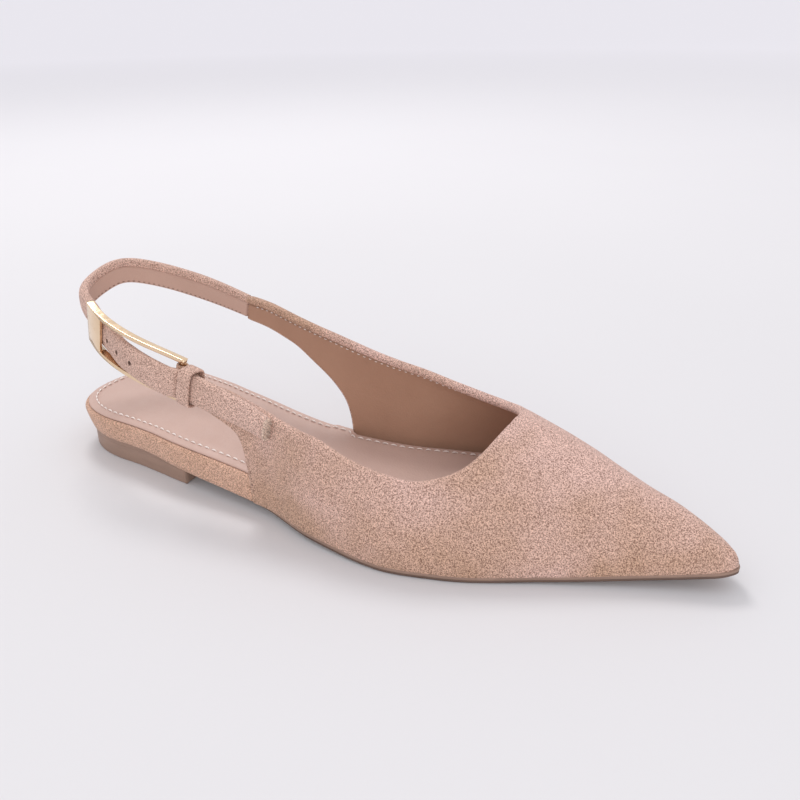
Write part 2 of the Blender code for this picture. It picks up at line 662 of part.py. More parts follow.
def fold_round_bar():
    """Lines of points that carry the outer quarter's strap round the buckle's end bar and back."""
    heights = np.linspace(-FOLD_WIDTH / 2, FOLD_WIDTH / 2, RIB_STEPS + 1)
    lines = []
    middle = (FOLD_AT_BAR + FOLD_CLOSED) / 2
    behind = ((FOLD_RETURN, FOLD_CLOSED), (CLOSING, FOLD_CLOSED), (CLOSING / 2, middle))
    for ahead, reach in behind:
        lines.append([base_point(BAR_AT + ahead, -reach, h) for h in heights])
    for degrees in range(180, -1, -FOLD_STEP):
        turn = math.radians(degrees)
        back, out = math.sin(turn) * FOLD_AT_BAR, math.cos(turn) * FOLD_AT_BAR
        lines.append([base_point(BAR_AT - back, out, h) for h in heights])
    for ahead, reach in behind[::-1]:
        lines.append([base_point(BAR_AT + ahead, reach, h) for h in heights])
    return lines


def make_upper():
    """Open surface of the last, shell inward with Solidify, thicker at the topline."""
    maker = bmesh.new()
    thick = maker.verts.layers.deform.verify()
    for side, ribs in ((OUTER, OUTER_RIBS), (INNER, INNER_RIBS)):
        grid = strip(side, rib_rows(ribs))
        throat = (len(ribs) - 2) * RIBS_BETWEEN
        folded = 0
        if side == OUTER:
            fold = fold_round_bar()
            folded = len(fold)
            grid = fold + grid
        lines = [[maker.verts.new(point) for point in placed(line)] for line in grid]
        for i, line in enumerate(lines):
            i -= folded
            for j, vert in enumerate(line):
                padded = blend(1 - 2 * TOPLINE_BAND, 1 - TOPLINE_BAND, j / RIB_STEPS)
                padded *= 1 - blend(throat - PADDING_ENDS * RIBS_BETWEEN, throat - RIBS_BETWEEN, i)
                wall = WALL + (TOPLINE - WALL) * padded
                if side == OUTER:
                    wall = FOLD_WALL + (wall - FOLD_WALL) * blend(0, 2 * RIBS_BETWEEN, i)
                vert[thick][0] = wall / TOPLINE
        for one, two in zip(lines, lines[1:]):
            for j in range(RIB_STEPS):
                corners = (one[j], one[j + 1], two[j + 1], two[j])
                maker.faces.new(corners[::-1] if side == OUTER else corners)
    bmesh.ops.remove_doubles(maker, verts=maker.verts, dist=SAME_POINT)
    mesh = bpy.data.meshes.new("upper")
    maker.to_mesh(mesh)
    maker.free()
    mesh.materials.append(paint("upper", SUEDE, MATT))
    mesh.shade_smooth()
    obj = bpy.data.objects.new("upper", mesh)
    PARTS.objects.link(obj)
    obj.vertex_groups.new(name="wall")
    shell = obj.modifiers.new("shell", "SOLIDIFY")
    shell.thickness = TOPLINE
    shell.offset = -1
    shell.vertex_group = "wall"
    shell.use_even_offset = False
    shell.use_quality_normals = True
    return obj


STRAP_BACK = (-0.94, -0.35, 0.35, 0.94)
STRAP_DOME = (1.0, 0.86, 0.5, 0.0, -0.5, -0.86, -1.0)


def strap_ring(at):
    """Section of the padded strap: flat inside, domed outside."""
    half = ease(STRAP_WIDTHS, "width", at) / 2
    back = -STRAP_THICK / 2
    edge = back + STRAP_EDGE
    front = back + ease(STRAP_WIDTHS, "crown", at)
    inside = [strap_point(at, back, half * s) for s in STRAP_BACK]
    dome = [strap_point(at, edge + (front - edge) * math.sqrt(1 - s * s), half * s) for s in STRAP_DOME]
    low = strap_point(at, (back + edge) / 2, -half)
    return inside + dome + [low]


def make_heel_strap():
    rings = [strap_ring(at) for at in np.linspace(SEAM_GAP, STRAP_LENGTH, STRAP_ROWS)]
    obj = finish("heel_strap", skin(rings), SUEDE, MATT)
    for k in range(HOLES):
        cut_hole(obj, STUD_AT + k * HOLE_PITCH, k)
    return obj


def make_rod(name, start, end, radius):
    """Closed rod between two points."""
    maker = bmesh.new()
    start, end = placed([start])[0], placed([end])[0]
    axis = unit(end - start)
    side = unit(np.cross(axis, (0, 0, 1.0)))
    other = np.cross(axis, side)
    turns = np.linspace(0, 2 * math.pi, ROD_SIDES, endpoint=False)
    spokes = [radius * (side * math.cos(turn) + other * math.sin(turn)) for turn in turns]
    loops = [[maker.verts.new(centre + spoke) for spoke in spokes] for centre in (start, end)]
    for k in range(ROD_SIDES):
        j = (k + 1) % ROD_SIDES
        maker.faces.new((loops[0][k], loops[0][j], loops[1][j], loops[1][k]))
    maker.faces.new(loops[0])
    maker.faces.new(loops[1][::-1])
    bmesh.ops.recalc_face_normals(maker, faces=maker.faces)
    mesh = bpy.data.meshes.new(name)
    maker.to_mesh(mesh)
    maker.free()
    obj = bpy.data.objects.new(name, mesh)
    obj.hide_render = True
    obj.display_type = "WIRE"
    CUTTERS.objects.link(obj)
    return obj


def cut(obj, cutter, operation):
    modifier = obj.modifiers.new(cutter.name, "BOOLEAN")
    modifier.operation = operation
    modifier.object = cutter


def cut_hole(obj, at, index):
    """Adjusting hole through the strap. The first one takes the buckle's stud."""
    radius = HOLE_RADIUS + (CLEARANCE if index == 0 else 0)
    reach = STRAP_THICK
    cut(obj, make_rod(f"hole_{index}", strap_point(at, -reach), strap_point(at, reach), radius), "DIFFERENCE")


def make_buckle():
    """Frame bent along the strap's line: two deep long bars, a thin plate and a thin end bar, with a stud."""
    half_in = FRAME_OPENING / 2
    half_out = half_in + FRAME_BAR
    thick = FRAME_THICK / 2
    window_end = BAR_AT - END_BAR
    frame_end = BAR_AT + END_BAR
    rings = []

    def ring(at_in, up_in, at_out, up_out, back, front):
        rings.append([base_point(at_in, back, up_in), base_point(at_out, back, up_out),
                      base_point(at_out, front, up_out), base_point(at_in, front, up_in)])

    for side in (1, -1):
        shares = np.linspace(0, 1, FRAME_STEPS + 1)[::side]
        for s in shares:
            ring(PLATE_END + (window_end - PLATE_END) * s, side * half_in,
                 PLATE_AT + (frame_end - PLATE_AT) * s, side * half_out, -thick, thick)
        for height in np.array((half_in - CLEARANCE, 0.0, CLEARANCE - half_in)) * side:
            if side == 1:
                ring(window_end, height, frame_end, height, -END_BAR, END_BAR)
            else:
                ring(PLATE_END, height, PLATE_AT, height, thick - PLATE_THICK, thick)
    obj = finish("buckle", skin(rings, closed=True), GOLD, BRIGHT, 1.0)
    tip = strap_point(STUD_AT, -STRAP_THICK / 2 - STUD_HEAD)
    stud = make_rod("stud", base_point(STUD_AT, thick - PLATE_THICK / 2), tip, HOLE_RADIUS)
    cut(obj, stud, "UNION")
    return obj


def make_keeper():
    """Closed loop round the strap's end and the fold of the quarter, next to the end bar."""
    start = BAR_AT + CLOSING
    end = start + KEEPER_WIDTH
    out = KEEPER_LAYER + STRAP_THICK / 2 + 2 * CLEARANCE
    back = -(FOLD_CLOSED + 2 * CLEARANCE)
    half = KEEPER_OPENING / 2
    corner = KEEPER_CORNER
    outside = corner + KEEPER_THICK
    points = []
    quarters = ((out - corner, half - corner, 0), (back + corner, half - corner, 90),
                (back + corner, corner - half, 180), (out - corner, corner - half, 270))
    for centre_out, centre_up, first in quarters:
        for turn in np.radians(first + np.linspace(0, 90, CORNER_POINTS)):
            points.append((centre_out, centre_up, math.cos(turn), math.sin(turn)))
    rings = []
    for centre_out, centre_up, x, y in points:
        ring = []
        for at, radius in ((start, corner), (end, corner), (end, outside), (start, outside)):
            ring.append(base_point(at, centre_out + x * radius, centre_up + y * radius))
        rings.append(ring)
    return finish("keeper_loop", skin(rings, closed=True), SUEDE, MATT)


def new_collection(name):
    collection = bpy.data.collections.new(name)
    bpy.context.scene.collection.children.link(collection)
    return collection


for old in list(bpy.data.objects):
    bpy.data.objects.remove(old, do_unlink=True)
PARTS = new_collection("slingback_flat")
CUTTERS = new_collection("cutters")

make_outsole()
make_heel_block()
make_footbed()
make_sock()
make_upper()
make_heel_strap()
make_keeper()
make_buckle()
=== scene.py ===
"""Looks of the slingback flat: suede, lining, stitches, gold buckle, sole, floor, light and camera."""
import math
import random

import bmesh
import bpy
import numpy as np
from mathutils import Matrix, Vector, noise


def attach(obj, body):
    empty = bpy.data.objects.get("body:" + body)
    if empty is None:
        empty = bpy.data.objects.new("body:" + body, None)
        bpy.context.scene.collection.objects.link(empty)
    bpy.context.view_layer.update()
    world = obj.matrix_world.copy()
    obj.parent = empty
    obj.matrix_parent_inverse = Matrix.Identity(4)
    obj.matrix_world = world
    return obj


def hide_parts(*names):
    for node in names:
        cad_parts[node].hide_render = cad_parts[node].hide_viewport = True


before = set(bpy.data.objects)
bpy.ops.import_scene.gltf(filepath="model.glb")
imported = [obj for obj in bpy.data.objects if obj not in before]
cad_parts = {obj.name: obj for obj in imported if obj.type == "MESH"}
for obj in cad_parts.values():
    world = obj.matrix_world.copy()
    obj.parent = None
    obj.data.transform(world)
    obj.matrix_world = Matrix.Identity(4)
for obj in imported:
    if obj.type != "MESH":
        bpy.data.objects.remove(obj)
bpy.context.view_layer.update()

# Sizes and tables, the same as in the solids, but for the sag of the strap in the window
LENGTH = 0.265              # outsole, rear end to tip
HEEL_WIDTH = 0.0536         # outsole across the heel seat
WAIST_WIDTH = 0.0486        # outsole across the waist
BALL_WIDTH = 0.0740         # outsole across the ball
INSTEP_HEIGHT = 0.0395      # ridge of the vamp above the outsole, at the throat
HEEL_HEIGHT = 0.0067        # floor to the underside of the heel seat
TOE_SPRING = 0.0062         # floor to the underside of the tip
BALL_STATION = 0.1657       # where the outsole meets the floor
SPRING_STATION = 0.185      # where it leaves the floor again
SEAT_STATION = 0.052        # where the level heel seat ends
ORIGIN_STATION = 0.034      # origin, from the rear end
HEEL_ROUND = 0.034          # length of the round at the rear end
HEEL_SQUARE = 2.3           # how square that round is, 2 for an ellipse
TOE_ROUND = 0.006           # length of the round at the tip
ARCH_FALL = 1.6             # how soon the arch comes down to the ball
ARCH_HOLD = 0.6             # how level it leaves the heel seat
RIDGE_SHIFT = 0.0050        # ridge of the last towards the inner side
TOE_SET = 0.0004            # upper's toe back from the outsole's tip

OUTSOLE = 0.0022            # thickness of the outsole
HEEL_INSET = 0.0017         # heel block in from the sole's plan, and the outsole with it above the block
HEEL_BREAST = 0.0673        # station of the heel block's front face
BOARD_HEEL = 0.0084         # footbed thickness at the heel
BOARD_BALL = 0.0064         # footbed thickness at the ball
BOARD_TOE = 0.0030          # footbed thickness at the tip
BOARD_THINS = 0.25, 0.62    # shares of LENGTH between which it thins from heel to ball
BOARD_ENDS = 0.66           # share of LENGTH from which it thins to the tip
SOCK = 0.0012               # thickness of the insole lining
RAND_UP = 0.10              # height on the last below which the footbed's side shows
RAND_FOOT = 0.0014          # foot of the footbed's side in from the plan, at the rear end
RAND_FLARE = 0.0010         # top of the footbed's side out from the plan, round the heel

WALL = 0.0020               # upper's wall, suede, backing and lining
TOPLINE = 0.0030            # upper's wall at the padded, folded topline
FOLD_WALL = 0.0010          # upper's wall where it folds round the buckle's end bar
FOLD_WIDTH = 0.0116         # upper's width there
FOLD_RETURN = 0.0050        # length of the fold behind the end bar
CLEARANCE = 0.0003          # gap between pieces that touch
BOARD_PLAY = 0.0012         # gap between the footbed and the inside of the upper
BOARD_TIP = 0.0080          # gap between the footbed's tip and the inside of the toe

STRAP_SEAM = 0.0092         # strap's width at the inner-side seam
STRAP_HEEL = 0.0103         # strap's width round the heel
STRAP_BUCKLE = 0.0115       # strap's width in the buckle
STRAP_END = 0.0088          # strap's width at the free end
STRAP_THICK = 0.0028        # strap, at its crown
STRAP_PAD = 0.0034          # strap, at its crown round the heel
STRAP_GROWN = 0.030         # length from the seam in which it grows to that
STRAP_EDGE = 0.0014         # strap, at its edges
HOLE_RADIUS = 0.0009        # adjusting holes
HOLE_PITCH = 0.0086         # adjusting holes, centre to centre
FRAME_LENGTH = 0.0538       # buckle, from its plate's end to its end bar, along the strap
FRAME_OPENING = 0.0138      # buckle's window, across
FRAME_BAR = 0.0016          # buckle's long bars, across
FRAME_THICK = 0.0028        # buckle's long bars, their depth
PLATE_THICK = 0.0012        # buckle's plate, flush with the bars' outside
FRAME_PLATE = 0.0120        # buckle's broad plate, along the strap
END_BAR = 0.0008            # half the width and half the depth of the buckle's end bar
STUD_HEAD = 0.0006          # how far the stud stands out behind the strap
STUD_PLACE = 0.55           # stud's place along the plate, as its share
HOLES = 4                   # adjusting holes, with the one that takes the stud
KEEPER_WIDTH = 0.0060       # keeper, along the strap
KEEPER_OPENING = 0.0125     # keeper's inside, across the strap
KEEPER_THICK = 0.0010       # keeper's wall
IN_RUN = 0.018              # length in which the strap leaves its own line and goes in under the plate
OUT_RUN = 0.016             # length from the plate in which it comes to the frame's level
OVER_RUN = 0.004            # length before the end bar where it lies on the fold's level
CLOSING = 0.0024            # length behind the end bar in which the fold comes together
SAG_IN = 0.0008             # strap below the frame's middle line at the plate's end, lower than the solid
SAG_OUT = 0.0009            # strap below it in the window, lower than the solid
SAG_BAR = 0.0002            # strap below it, at the end bar
STRAP_LEAN = -0.06, 0.12    # outward lean of the strap's upper edge, at the seam and at the free end
SEAM_GAP = 0.0008           # strap's end from the middle of the inner quarter's rear edge

PROBE = 0.002               # step, in shares, for slopes on the last
OUTER, INNER = -1, 1        # sides of the shoe: little toe, big toe

# Plan of the sole: station as a share of LENGTH, the width it follows, outer and inner half as its shares
PLAN = (
    ("station", "width", "outer", "inner"),
    (0.00, HEEL_WIDTH, 0.470, 0.576),
    (0.12, HEEL_WIDTH, 0.475, 0.530),
    (0.25, HEEL_WIDTH, 0.545, 0.425),
    (0.40, WAIST_WIDTH, 0.665, 0.385),
    (0.50, BALL_WIDTH, 0.534, 0.305),
    (0.60, BALL_WIDTH, 0.576, 0.423),
    (0.68, BALL_WIDTH, 0.519, 0.485),
    (0.80, BALL_WIDTH, 0.330, 0.412),
    (0.90, BALL_WIDTH, 0.176, 0.261),
    (1.00, BALL_WIDTH, 0.042, 0.072),
)

# Sections of the last. Station as a share of LENGTH, ridge as a share of INSTEP_HEIGHT, overhang of the outer
# and inner wall as shares of BALL_WIDTH, and how far the wall stays upright and the top stays level.
# Behind the throat the ridge is only where the foot would be.
SECTIONS = (
    ("station", "crown", "outer_bulge", "inner_bulge", "upright", "level"),
    (0.18, 2.348, 0.000, 0.081, 0.75, 0.70),
    (0.30, 2.021, 0.027, 0.129, 0.80, 0.70),
    (0.40, 1.795, 0.040, 0.131, 0.80, 0.70),
    (0.50, 1.592, 0.027, 0.107, 0.72, 0.65),
    (0.60, 1.340, 0.020, 0.072, 0.60, 0.54),
    (0.68, 1.085, 0.016, 0.034, 0.57, 0.43),
    (0.72, 1.000, 0.014, 0.022, 0.56, 0.38),
    (0.76, 0.909, 0.013, 0.013, 0.56, 0.35),
    (0.80, 0.795, 0.011, 0.011, 0.55, 0.35),
    (0.84, 0.660, 0.008, 0.008, 0.55, 0.35),
    (0.88, 0.530, 0.007, 0.007, 0.55, 0.35),
    (0.92, 0.420, 0.006, 0.006, 0.55, 0.38),
    (0.95, 0.305, 0.004, 0.004, 0.55, 0.40),
    (0.98, 0.150, 0.003, 0.003, 0.55, 0.45),
)

# Edge of the sole along the shoe. Station as a share of LENGTH, the outsole's thickness as a share of
# OUTSOLE, its edge moved in as a share of HEEL_INSET, the foot of the footbed's side in as a share of
# RAND_FOOT and its top out as a share of RAND_FLARE. The suede covers the outsole's edge through the waist.
SOLE_EDGE = (
    ("station", "outsole", "inset", "rand_foot", "rand_top"),
    (0.00, 0.75, 1.00, 1.00, 1.00),
    (0.08, 0.75, 1.00, 0.70, 1.00),
    (0.16, 0.75, 1.00, 0.60, 1.00),
    (0.25, 0.35, 1.00, 0.30, 0.80),
    (0.37, 0.30, 0.60, 0.00, 0.00),
    (0.44, 0.60, 0.20, 0.00, 0.00),
    (0.52, 1.00, 0.00, 0.00, 0.00),
    (1.00, 1.00, 0.00, 0.00, 0.00),
)
RIDGE_END = 0.983           # where the ridge meets the toe, share of LENGTH
RIDGE_TURN = 0.78           # where the ridge begins to turn to the middle of the toe
RIDGE_BEND = 0.85           # where the ribs begin to fan round the toe
TOE_TURN = 0.95             # where the upper begins to draw back from the outsole's tip

# Ribs of the upper, from the strap's end to the throat: lower end and upper end, each as a station (share of
# LENGTH) and a height on the last (0 at the sole, 1 at the ridge). The lower ends run along the strap's
# lower edge, down the quarter's rear edge and along the sole.
OUTER_RIBS = (
    ("low_station", "low", "top_station", "top"),
    (0.312, 0.181, 0.312, 0.268),
    (0.333, 0.177, 0.338, 0.271),
    (0.352, 0.173, 0.372, 0.270),
    (0.369, 0.163, 0.405, 0.271),
    (0.380, 0.130, 0.438, 0.277),
    (0.385, 0.066, 0.472, 0.295),
    (0.388, -0.009, 0.509, 0.320),
    (0.450, -0.003, 0.545, 0.328),
    (0.520, 0.000, 0.590, 0.354),
    (0.580, 0.000, 0.638, 0.385),
    (0.622, 0.000, 0.665, 0.440),
    (0.656, 0.000, 0.692, 0.545),
    (0.681, 0.000, 0.707, 0.690),
    (0.700, 0.000, 0.714, 0.860),
    (0.711, 0.000, 0.717, 1.000),
)
INNER_RIBS = (
    ("low_station", "low", "top_station", "top"),
    (0.2385, 0.254, 0.2485, 0.340),
    (0.280, 0.258, 0.300, 0.359),
    (0.325, 0.254, 0.350, 0.368),
    (0.368, 0.220, 0.398, 0.377),
    (0.401, 0.180, 0.434, 0.383),
    (0.423, 0.128, 0.471, 0.391),
    (0.433, 0.062, 0.509, 0.408),
    (0.437, -0.005, 0.549, 0.436),
    (0.494, 0.000, 0.594, 0.462),
    (0.554, 0.000, 0.636, 0.505),
    (0.606, 0.000, 0.667, 0.575),
    (0.648, 0.000, 0.690, 0.666),
    (0.677, 0.000, 0.705, 0.775),
    (0.699, 0.000, 0.714, 0.880),
    (0.711, 0.000, 0.717, 1.000),
)
TOE_RIBS = (
    ("low_station", "low", "top_station", "top"),
    (0.750, 0.000, 0.753, 1.000),
    (0.800, 0.000, 0.800, 1.000),
    (0.860, 0.000, 0.860, 1.000),
    (0.920, 0.000, 0.920, 1.000),
    (0.965, 0.000, 0.965, 1.000),
    (1.000, 0.000, 1.000, 1.000),
)

# Way of the heel strap round the heel, as its middle line: station as a share of LENGTH, side as a share of
# HEEL_WIDTH, height as a share of INSTEP_HEIGHT. It starts at the inner-side seam. Before BAR_STATION it is
# the buckle's own middle line.
STRAP_ROUTE = (
    ("station", "side", "height"),
    (0.177, 0.466, 1.506),
    (0.118, 0.431, 1.590),
    (0.063, 0.340, 1.672),
    (0.029, 0.198, 1.704),
    (0.018, 0.022, 1.641),
    (0.028, -0.164, 1.580),
    (0.049, -0.276, 1.527),
    (0.075, -0.358, 1.471),
    (0.104, -0.431, 1.413),
    (0.151, -0.500, 1.329),
    (0.200, -0.524, 1.251),
    (0.249, -0.522, 1.180),
)
# Where the strap's end lies on the outer quarter: station as a share of LENGTH, height on the last
STRAP_ON_QUARTER = (
    ("station", "height"),
    (0.288, 0.226),
    (0.325, 0.231),
    (0.360, 0.234),
    (0.400, 0.236),
    (0.430, 0.240),
)
BAR_STATION = 0.271         # station of the buckle's end bar, on the outer side, as a share of LENGTH

# Steps of the fine meshes
BETWEEN = 8                 # steps from one row of ribs to the next
UP_STEPS = 44               # steps up a rib
PLAN_STEPS = 260            # points along each side of the sole
STRAP_STEPS = 380           # sections of the strap
FRONT_POINTS = 24           # points across the strap's outside
BACK_POINTS = 34            # points across its inside
LINE_STEPS = 1500           # points on the strap's line
EDGE_STEPS = 7              # steps round the upper's open borders
STITCH_SLICES = 5           # sections of a sewn thread
STITCH_SIDES = 6            # sides of a sewn thread

# Soft forms that only the looks have
ROLL = 0.0034               # how far the padded topline reaches below the edge
GROOVE = 0.0040             # where its stitches pull it in
GROOVE_DEEP = 0.0007        # how deep they do
FOOTBED_SOFT = 0.0014       # rounding of the footbed's top edge
SOCK_EDGE = 0.0016          # sock's edge in from the footbed's side
SOCK_SEW = 0.0049           # sock's stitches in from there
SOCK_RISE = 0.0004          # how far the sock's padding rises
STRAP_ROLL = 0.0006         # suede's turned edge on the strap's inside
ROLL_EDGE = 0.30            # its lower edge, as a share of the strap's half width
BACK_HALF = 0.97            # how far the strap's inside reaches, as that share
METAL_SOFT = 0.00028        # rounding of the buckle's edges
FIBRES = 420                # fibres at the strap's cut end

# Sewn threads: pitch, length and radius of each stitch
TOPLINE_STITCH = 0.0025, 0.0012, 0.00022
REAR_STITCH = 0.0026, 0.0014, 0.00026
SOCK_STITCH = 0.0034, 0.0024, 0.00032
STRAP_STITCH = 0.0021, 0.0013, 0.00024

# Camera and light, found from the photo
CAMERA_PLACE = 0.2487, -0.2452, 0.1719
CAMERA_ANGLES = 29.05, 25.03, -1.2      # degrees round to the outer side, down and rolled
SENSOR, LENS = 36.0, 39.6               # millimetres
AIM = 0.10, 0.0, 0.02                   # where the lamps point
LAMPS = (
    ("name", "place", "size", "power", "colour"),
    ("key", (-0.50, 0.55, 1.20), 0.45, 6.2, (1.0, 0.98, 0.97)),
    ("fill", (0.75, -0.95, 0.42), 0.7, 3.2, (1.0, 0.99, 0.98)),
)
WORLD_COLOUR, WORLD_POWER = (0.975, 0.97, 1.0, 1.0), 0.90
FLOOR_HALF = 60.0                       # half the floor's width
FLOOR_NEAR, FLOOR_FAR = 0.3, 2.6        # distances between which the floor turns paler


# Shape of the last and the sole
def monotone(x, y, at):
    """Smooth curve through the points that never swings past them."""
    step = np.diff(x)
    slope = np.diff(y) / step
    tangent = np.zeros_like(y)
    tangent[0], tangent[-1] = slope[0], slope[-1]
    for i in range(1, len(x) - 1):
        if slope[i - 1] * slope[i] > 0:
            left, right = 2 * step[i] + step[i - 1], step[i] + 2 * step[i - 1]
            tangent[i] = (left + right) / (left / slope[i - 1] + right / slope[i])
    at = np.clip(np.asarray(at, float), x[0], x[-1])
    i = np.clip(np.searchsorted(x, at, side="right") - 1, 0, len(step) - 1)
    s = (at - x[i]) / step[i]
    return ((2 * s**3 - 3 * s**2 + 1) * y[i] + (s**3 - 2 * s**2 + s) * step[i] * tangent[i]
            + (3 * s**2 - 2 * s**3) * y[i + 1] + (s**3 - s**2) * step[i] * tangent[i + 1])


def column(table, name):
    place = table[0].index(name)
    return np.array([row[place] for row in table[1:]], float)


def ease(table, name, at):
    return monotone(column(table, table[0][0]), column(table, name), at)


def blend(low, high, at):
    s = np.clip((np.asarray(at, float) - low) / (high - low), 0, 1)
    return s * s * (3 - 2 * s)


def unit(vectors):
    vectors = np.asarray(vectors, float)
    return vectors / (np.linalg.norm(vectors, axis=-1, keepdims=True) + 1e-15)


def placed(points):
    return np.asarray(points, float) - (ORIGIN_STATION, 0, 0)


def half_width(side, station):
    x = column(PLAN, "station") * LENGTH
    y = column(PLAN, "width") * column(PLAN, "outer" if side == OUTER else "inner")
    heel = np.clip(station / HEEL_ROUND, 0, 1)
    toe = np.clip((LENGTH - station) / TOE_ROUND, 0, 1)
    rear = (1 - (1 - heel) ** HEEL_SQUARE) ** (1 / HEEL_SQUARE)
    return monotone(x, y, station) * rear * np.sqrt(1 - (1 - toe) ** 2)


def underside(station):
    down = np.clip((station - SEAT_STATION) / (BALL_STATION - SEAT_STATION), 0, 1)
    up = np.clip((station - SPRING_STATION) / (LENGTH - SPRING_STATION), 0, 1)
    return HEEL_HEIGHT * (1 - down) ** ARCH_FALL * (1 + ARCH_HOLD * down) + TOE_SPRING * up**2


def feather(station):
    """Height of the last's foot, a gap above the outsole at its full thickness."""
    return underside(station) + OUTSOLE + CLEARANCE


def sole_edge(name, station):
    return ease(SOLE_EDGE, name, station / LENGTH)


def outsole_top(station):
    return underside(station) + OUTSOLE * sole_edge("outsole", station)


def board_top(station):
    ball = blend(BOARD_THINS[0] * LENGTH, BOARD_THINS[1] * LENGTH, station)
    toe = blend(BOARD_ENDS * LENGTH, LENGTH, station)
    return feather(station) + BOARD_HEEL + (BOARD_BALL - BOARD_HEEL) * ball + (BOARD_TOE - BOARD_BALL) * toe


def ridge_side(share):
    middle = (half_width(INNER, share * LENGTH) - half_width(OUTER, share * LENGTH)) / 2
    toe = blend(RIDGE_TURN, RIDGE_END, share)
    return RIDGE_SHIFT * (1 - toe) + middle * toe


def last(side, share, up):
    """Points on the last. share and up are arrays of one shape."""
    share, up = np.broadcast_arrays(np.asarray(share, float), np.asarray(up, float))
    station = share * LENGTH
    back = TOE_SET * blend(TOE_TURN, 1, share)
    foot = np.stack([station - back, side * half_width(side, station), feather(station)], -1)
    fan = np.clip((share - RIDGE_BEND) / (1 - RIDGE_BEND), 0, 1) ** 2
    top = share - (1 - RIDGE_END) * fan
    crown = ease(SECTIONS, "crown", top) * INSTEP_HEIGHT
    ridge = np.stack([top * LENGTH, ridge_side(top), feather(top * LENGTH) + crown], -1)
    fall = ease(SECTIONS, "crown", top + PROBE) - ease(SECTIONS, "crown", top - PROBE)
    fall = fall * INSTEP_HEIGHT / (2 * PROBE * LENGTH)
    bulge = ease(SECTIONS, "outer_bulge" if side == OUTER else "inner_bulge", share) * BALL_WIDTH
    run = foot - ridge
    flat = run * (1, 1, 0)
    wall = foot + unit(flat) * bulge[..., None]
    wall[..., 2] += ease(SECTIONS, "upright", share) * crown
    slope = np.stack([run[..., 0], run[..., 1], fall * run[..., 0]], -1)
    level = ridge + ease(SECTIONS, "level", share)[..., None] * slope
    t = up[..., None]
    return foot * (1 - t) ** 3 + 3 * wall * t * (1 - t) ** 2 + 3 * level * t**2 * (1 - t) + ridge * t**3


def last_normal(side, share, up):
    share, up = np.broadcast_arrays(np.asarray(share, float), np.asarray(up, float))
    along = last(side, share + PROBE, up) - last(side, share - PROBE, up)
    rise = last(side, share, up + PROBE) - last(side, share, up - PROBE)
    return unit(np.cross(along, rise)) * (1 if side == OUTER else -1)


# Way of the strap
def natural(points, count):
    """Natural cubic curve through points in space, with the length along it."""
    points = np.asarray(points, float)
    knots = np.concatenate([[0], np.cumsum(np.linalg.norm(np.diff(points, axis=0), axis=1))])
    n = len(points)
    h = np.diff(knots)
    system = np.zeros((n, n))
    right = np.zeros((n, 3))
    system[0, 0] = system[-1, -1] = 1
    for i in range(1, n - 1):
        system[i, i - 1:i + 2] = h[i - 1], 2 * (h[i - 1] + h[i]), h[i]
        right[i] = 6 * ((points[i + 1] - points[i]) / h[i] - (points[i] - points[i - 1]) / h[i - 1])
    bend = np.linalg.solve(system, right)
    t = np.linspace(0, knots[-1], count)
    i = np.clip(np.searchsorted(knots, t, side="right") - 1, 0, n - 2)
    a, b = ((knots[i + 1] - t) / h[i])[:, None], ((t - knots[i]) / h[i])[:, None]
    reach = (h[i] ** 2)[:, None] / 6
    curve = a * points[i] + b * points[i + 1] + reach * ((a**3 - a) * bend[i] + (b**3 - b) * bend[i + 1])
    length = np.concatenate([[0], np.cumsum(np.linalg.norm(np.diff(curve, axis=0), axis=1))])
    return curve, length


FOLD_AT_BAR = math.hypot(END_BAR, END_BAR) + CLEARANCE + FOLD_WALL
FOLD_CLOSED = CLEARANCE / 2 + FOLD_WALL
BAR_LAYER = FOLD_AT_BAR + CLEARANCE + STRAP_THICK / 2
KEEPER_LAYER = FOLD_CLOSED + CLEARANCE + STRAP_THICK / 2
PLATE_LAYER = FRAME_THICK / 2 - PLATE_THICK - CLEARANCE - STRAP_THICK / 2
WINDOW_LAYER = (PLATE_LAYER + BAR_LAYER) / 2


def strap_base():
    low_at, low_up, top_at, top_up = INNER_RIBS[1]
    seam = (low_at + top_at) / 2, (low_up + top_up) / 2
    rows = [last(INNER, *seam) - last_normal(INNER, *seam) * WALL / 2]
    rows += [np.array(row) * (LENGTH, HEEL_WIDTH, INSTEP_HEIGHT) for row in STRAP_ROUTE[1:]]
    for share, up in STRAP_ON_QUARTER[1:]:
        rows.append(last(OUTER, share, up) - last_normal(OUTER, share, up) * FOLD_CLOSED)
    curve, length = natural(rows, LINE_STEPS)
    along = unit(np.gradient(curve, length, axis=0))
    out = np.cross(along, (0, 0, 1.0))
    out = unit(out * (1 if out[0, 1] > 0 else -1))
    out[:, 2] += np.interp(length, (0, length[-1]), STRAP_LEAN)
    out = unit(out - along * np.sum(out * along, axis=1)[:, None])
    up = np.cross(along, out)
    up *= 1 if up[0, 2] > 0 else -1
    return curve, length, along, out, up


BASE = strap_base()


def base_length(station):
    curve, length = BASE[0], BASE[1]
    outer = np.arange(len(curve)) > np.argmin(curve[:, 0])
    return float(np.interp(station, curve[outer, 0], length[outer]))


def base_point(at, out=0.0, up=0.0):
    """Points beside the strap's line. Lengths and distances are arrays of one shape or single numbers."""
    curve, length, _, outward, upward = BASE
    at, out, up = np.broadcast_arrays(np.asarray(at, float), np.asarray(out, float), np.asarray(up, float))
    pick = [np.stack([np.interp(at, length, values) for values in table.T], -1)
            for table in (curve, outward, upward)]
    return pick[0] + unit(pick[1]) * out[..., None] + unit(pick[2]) * up[..., None]


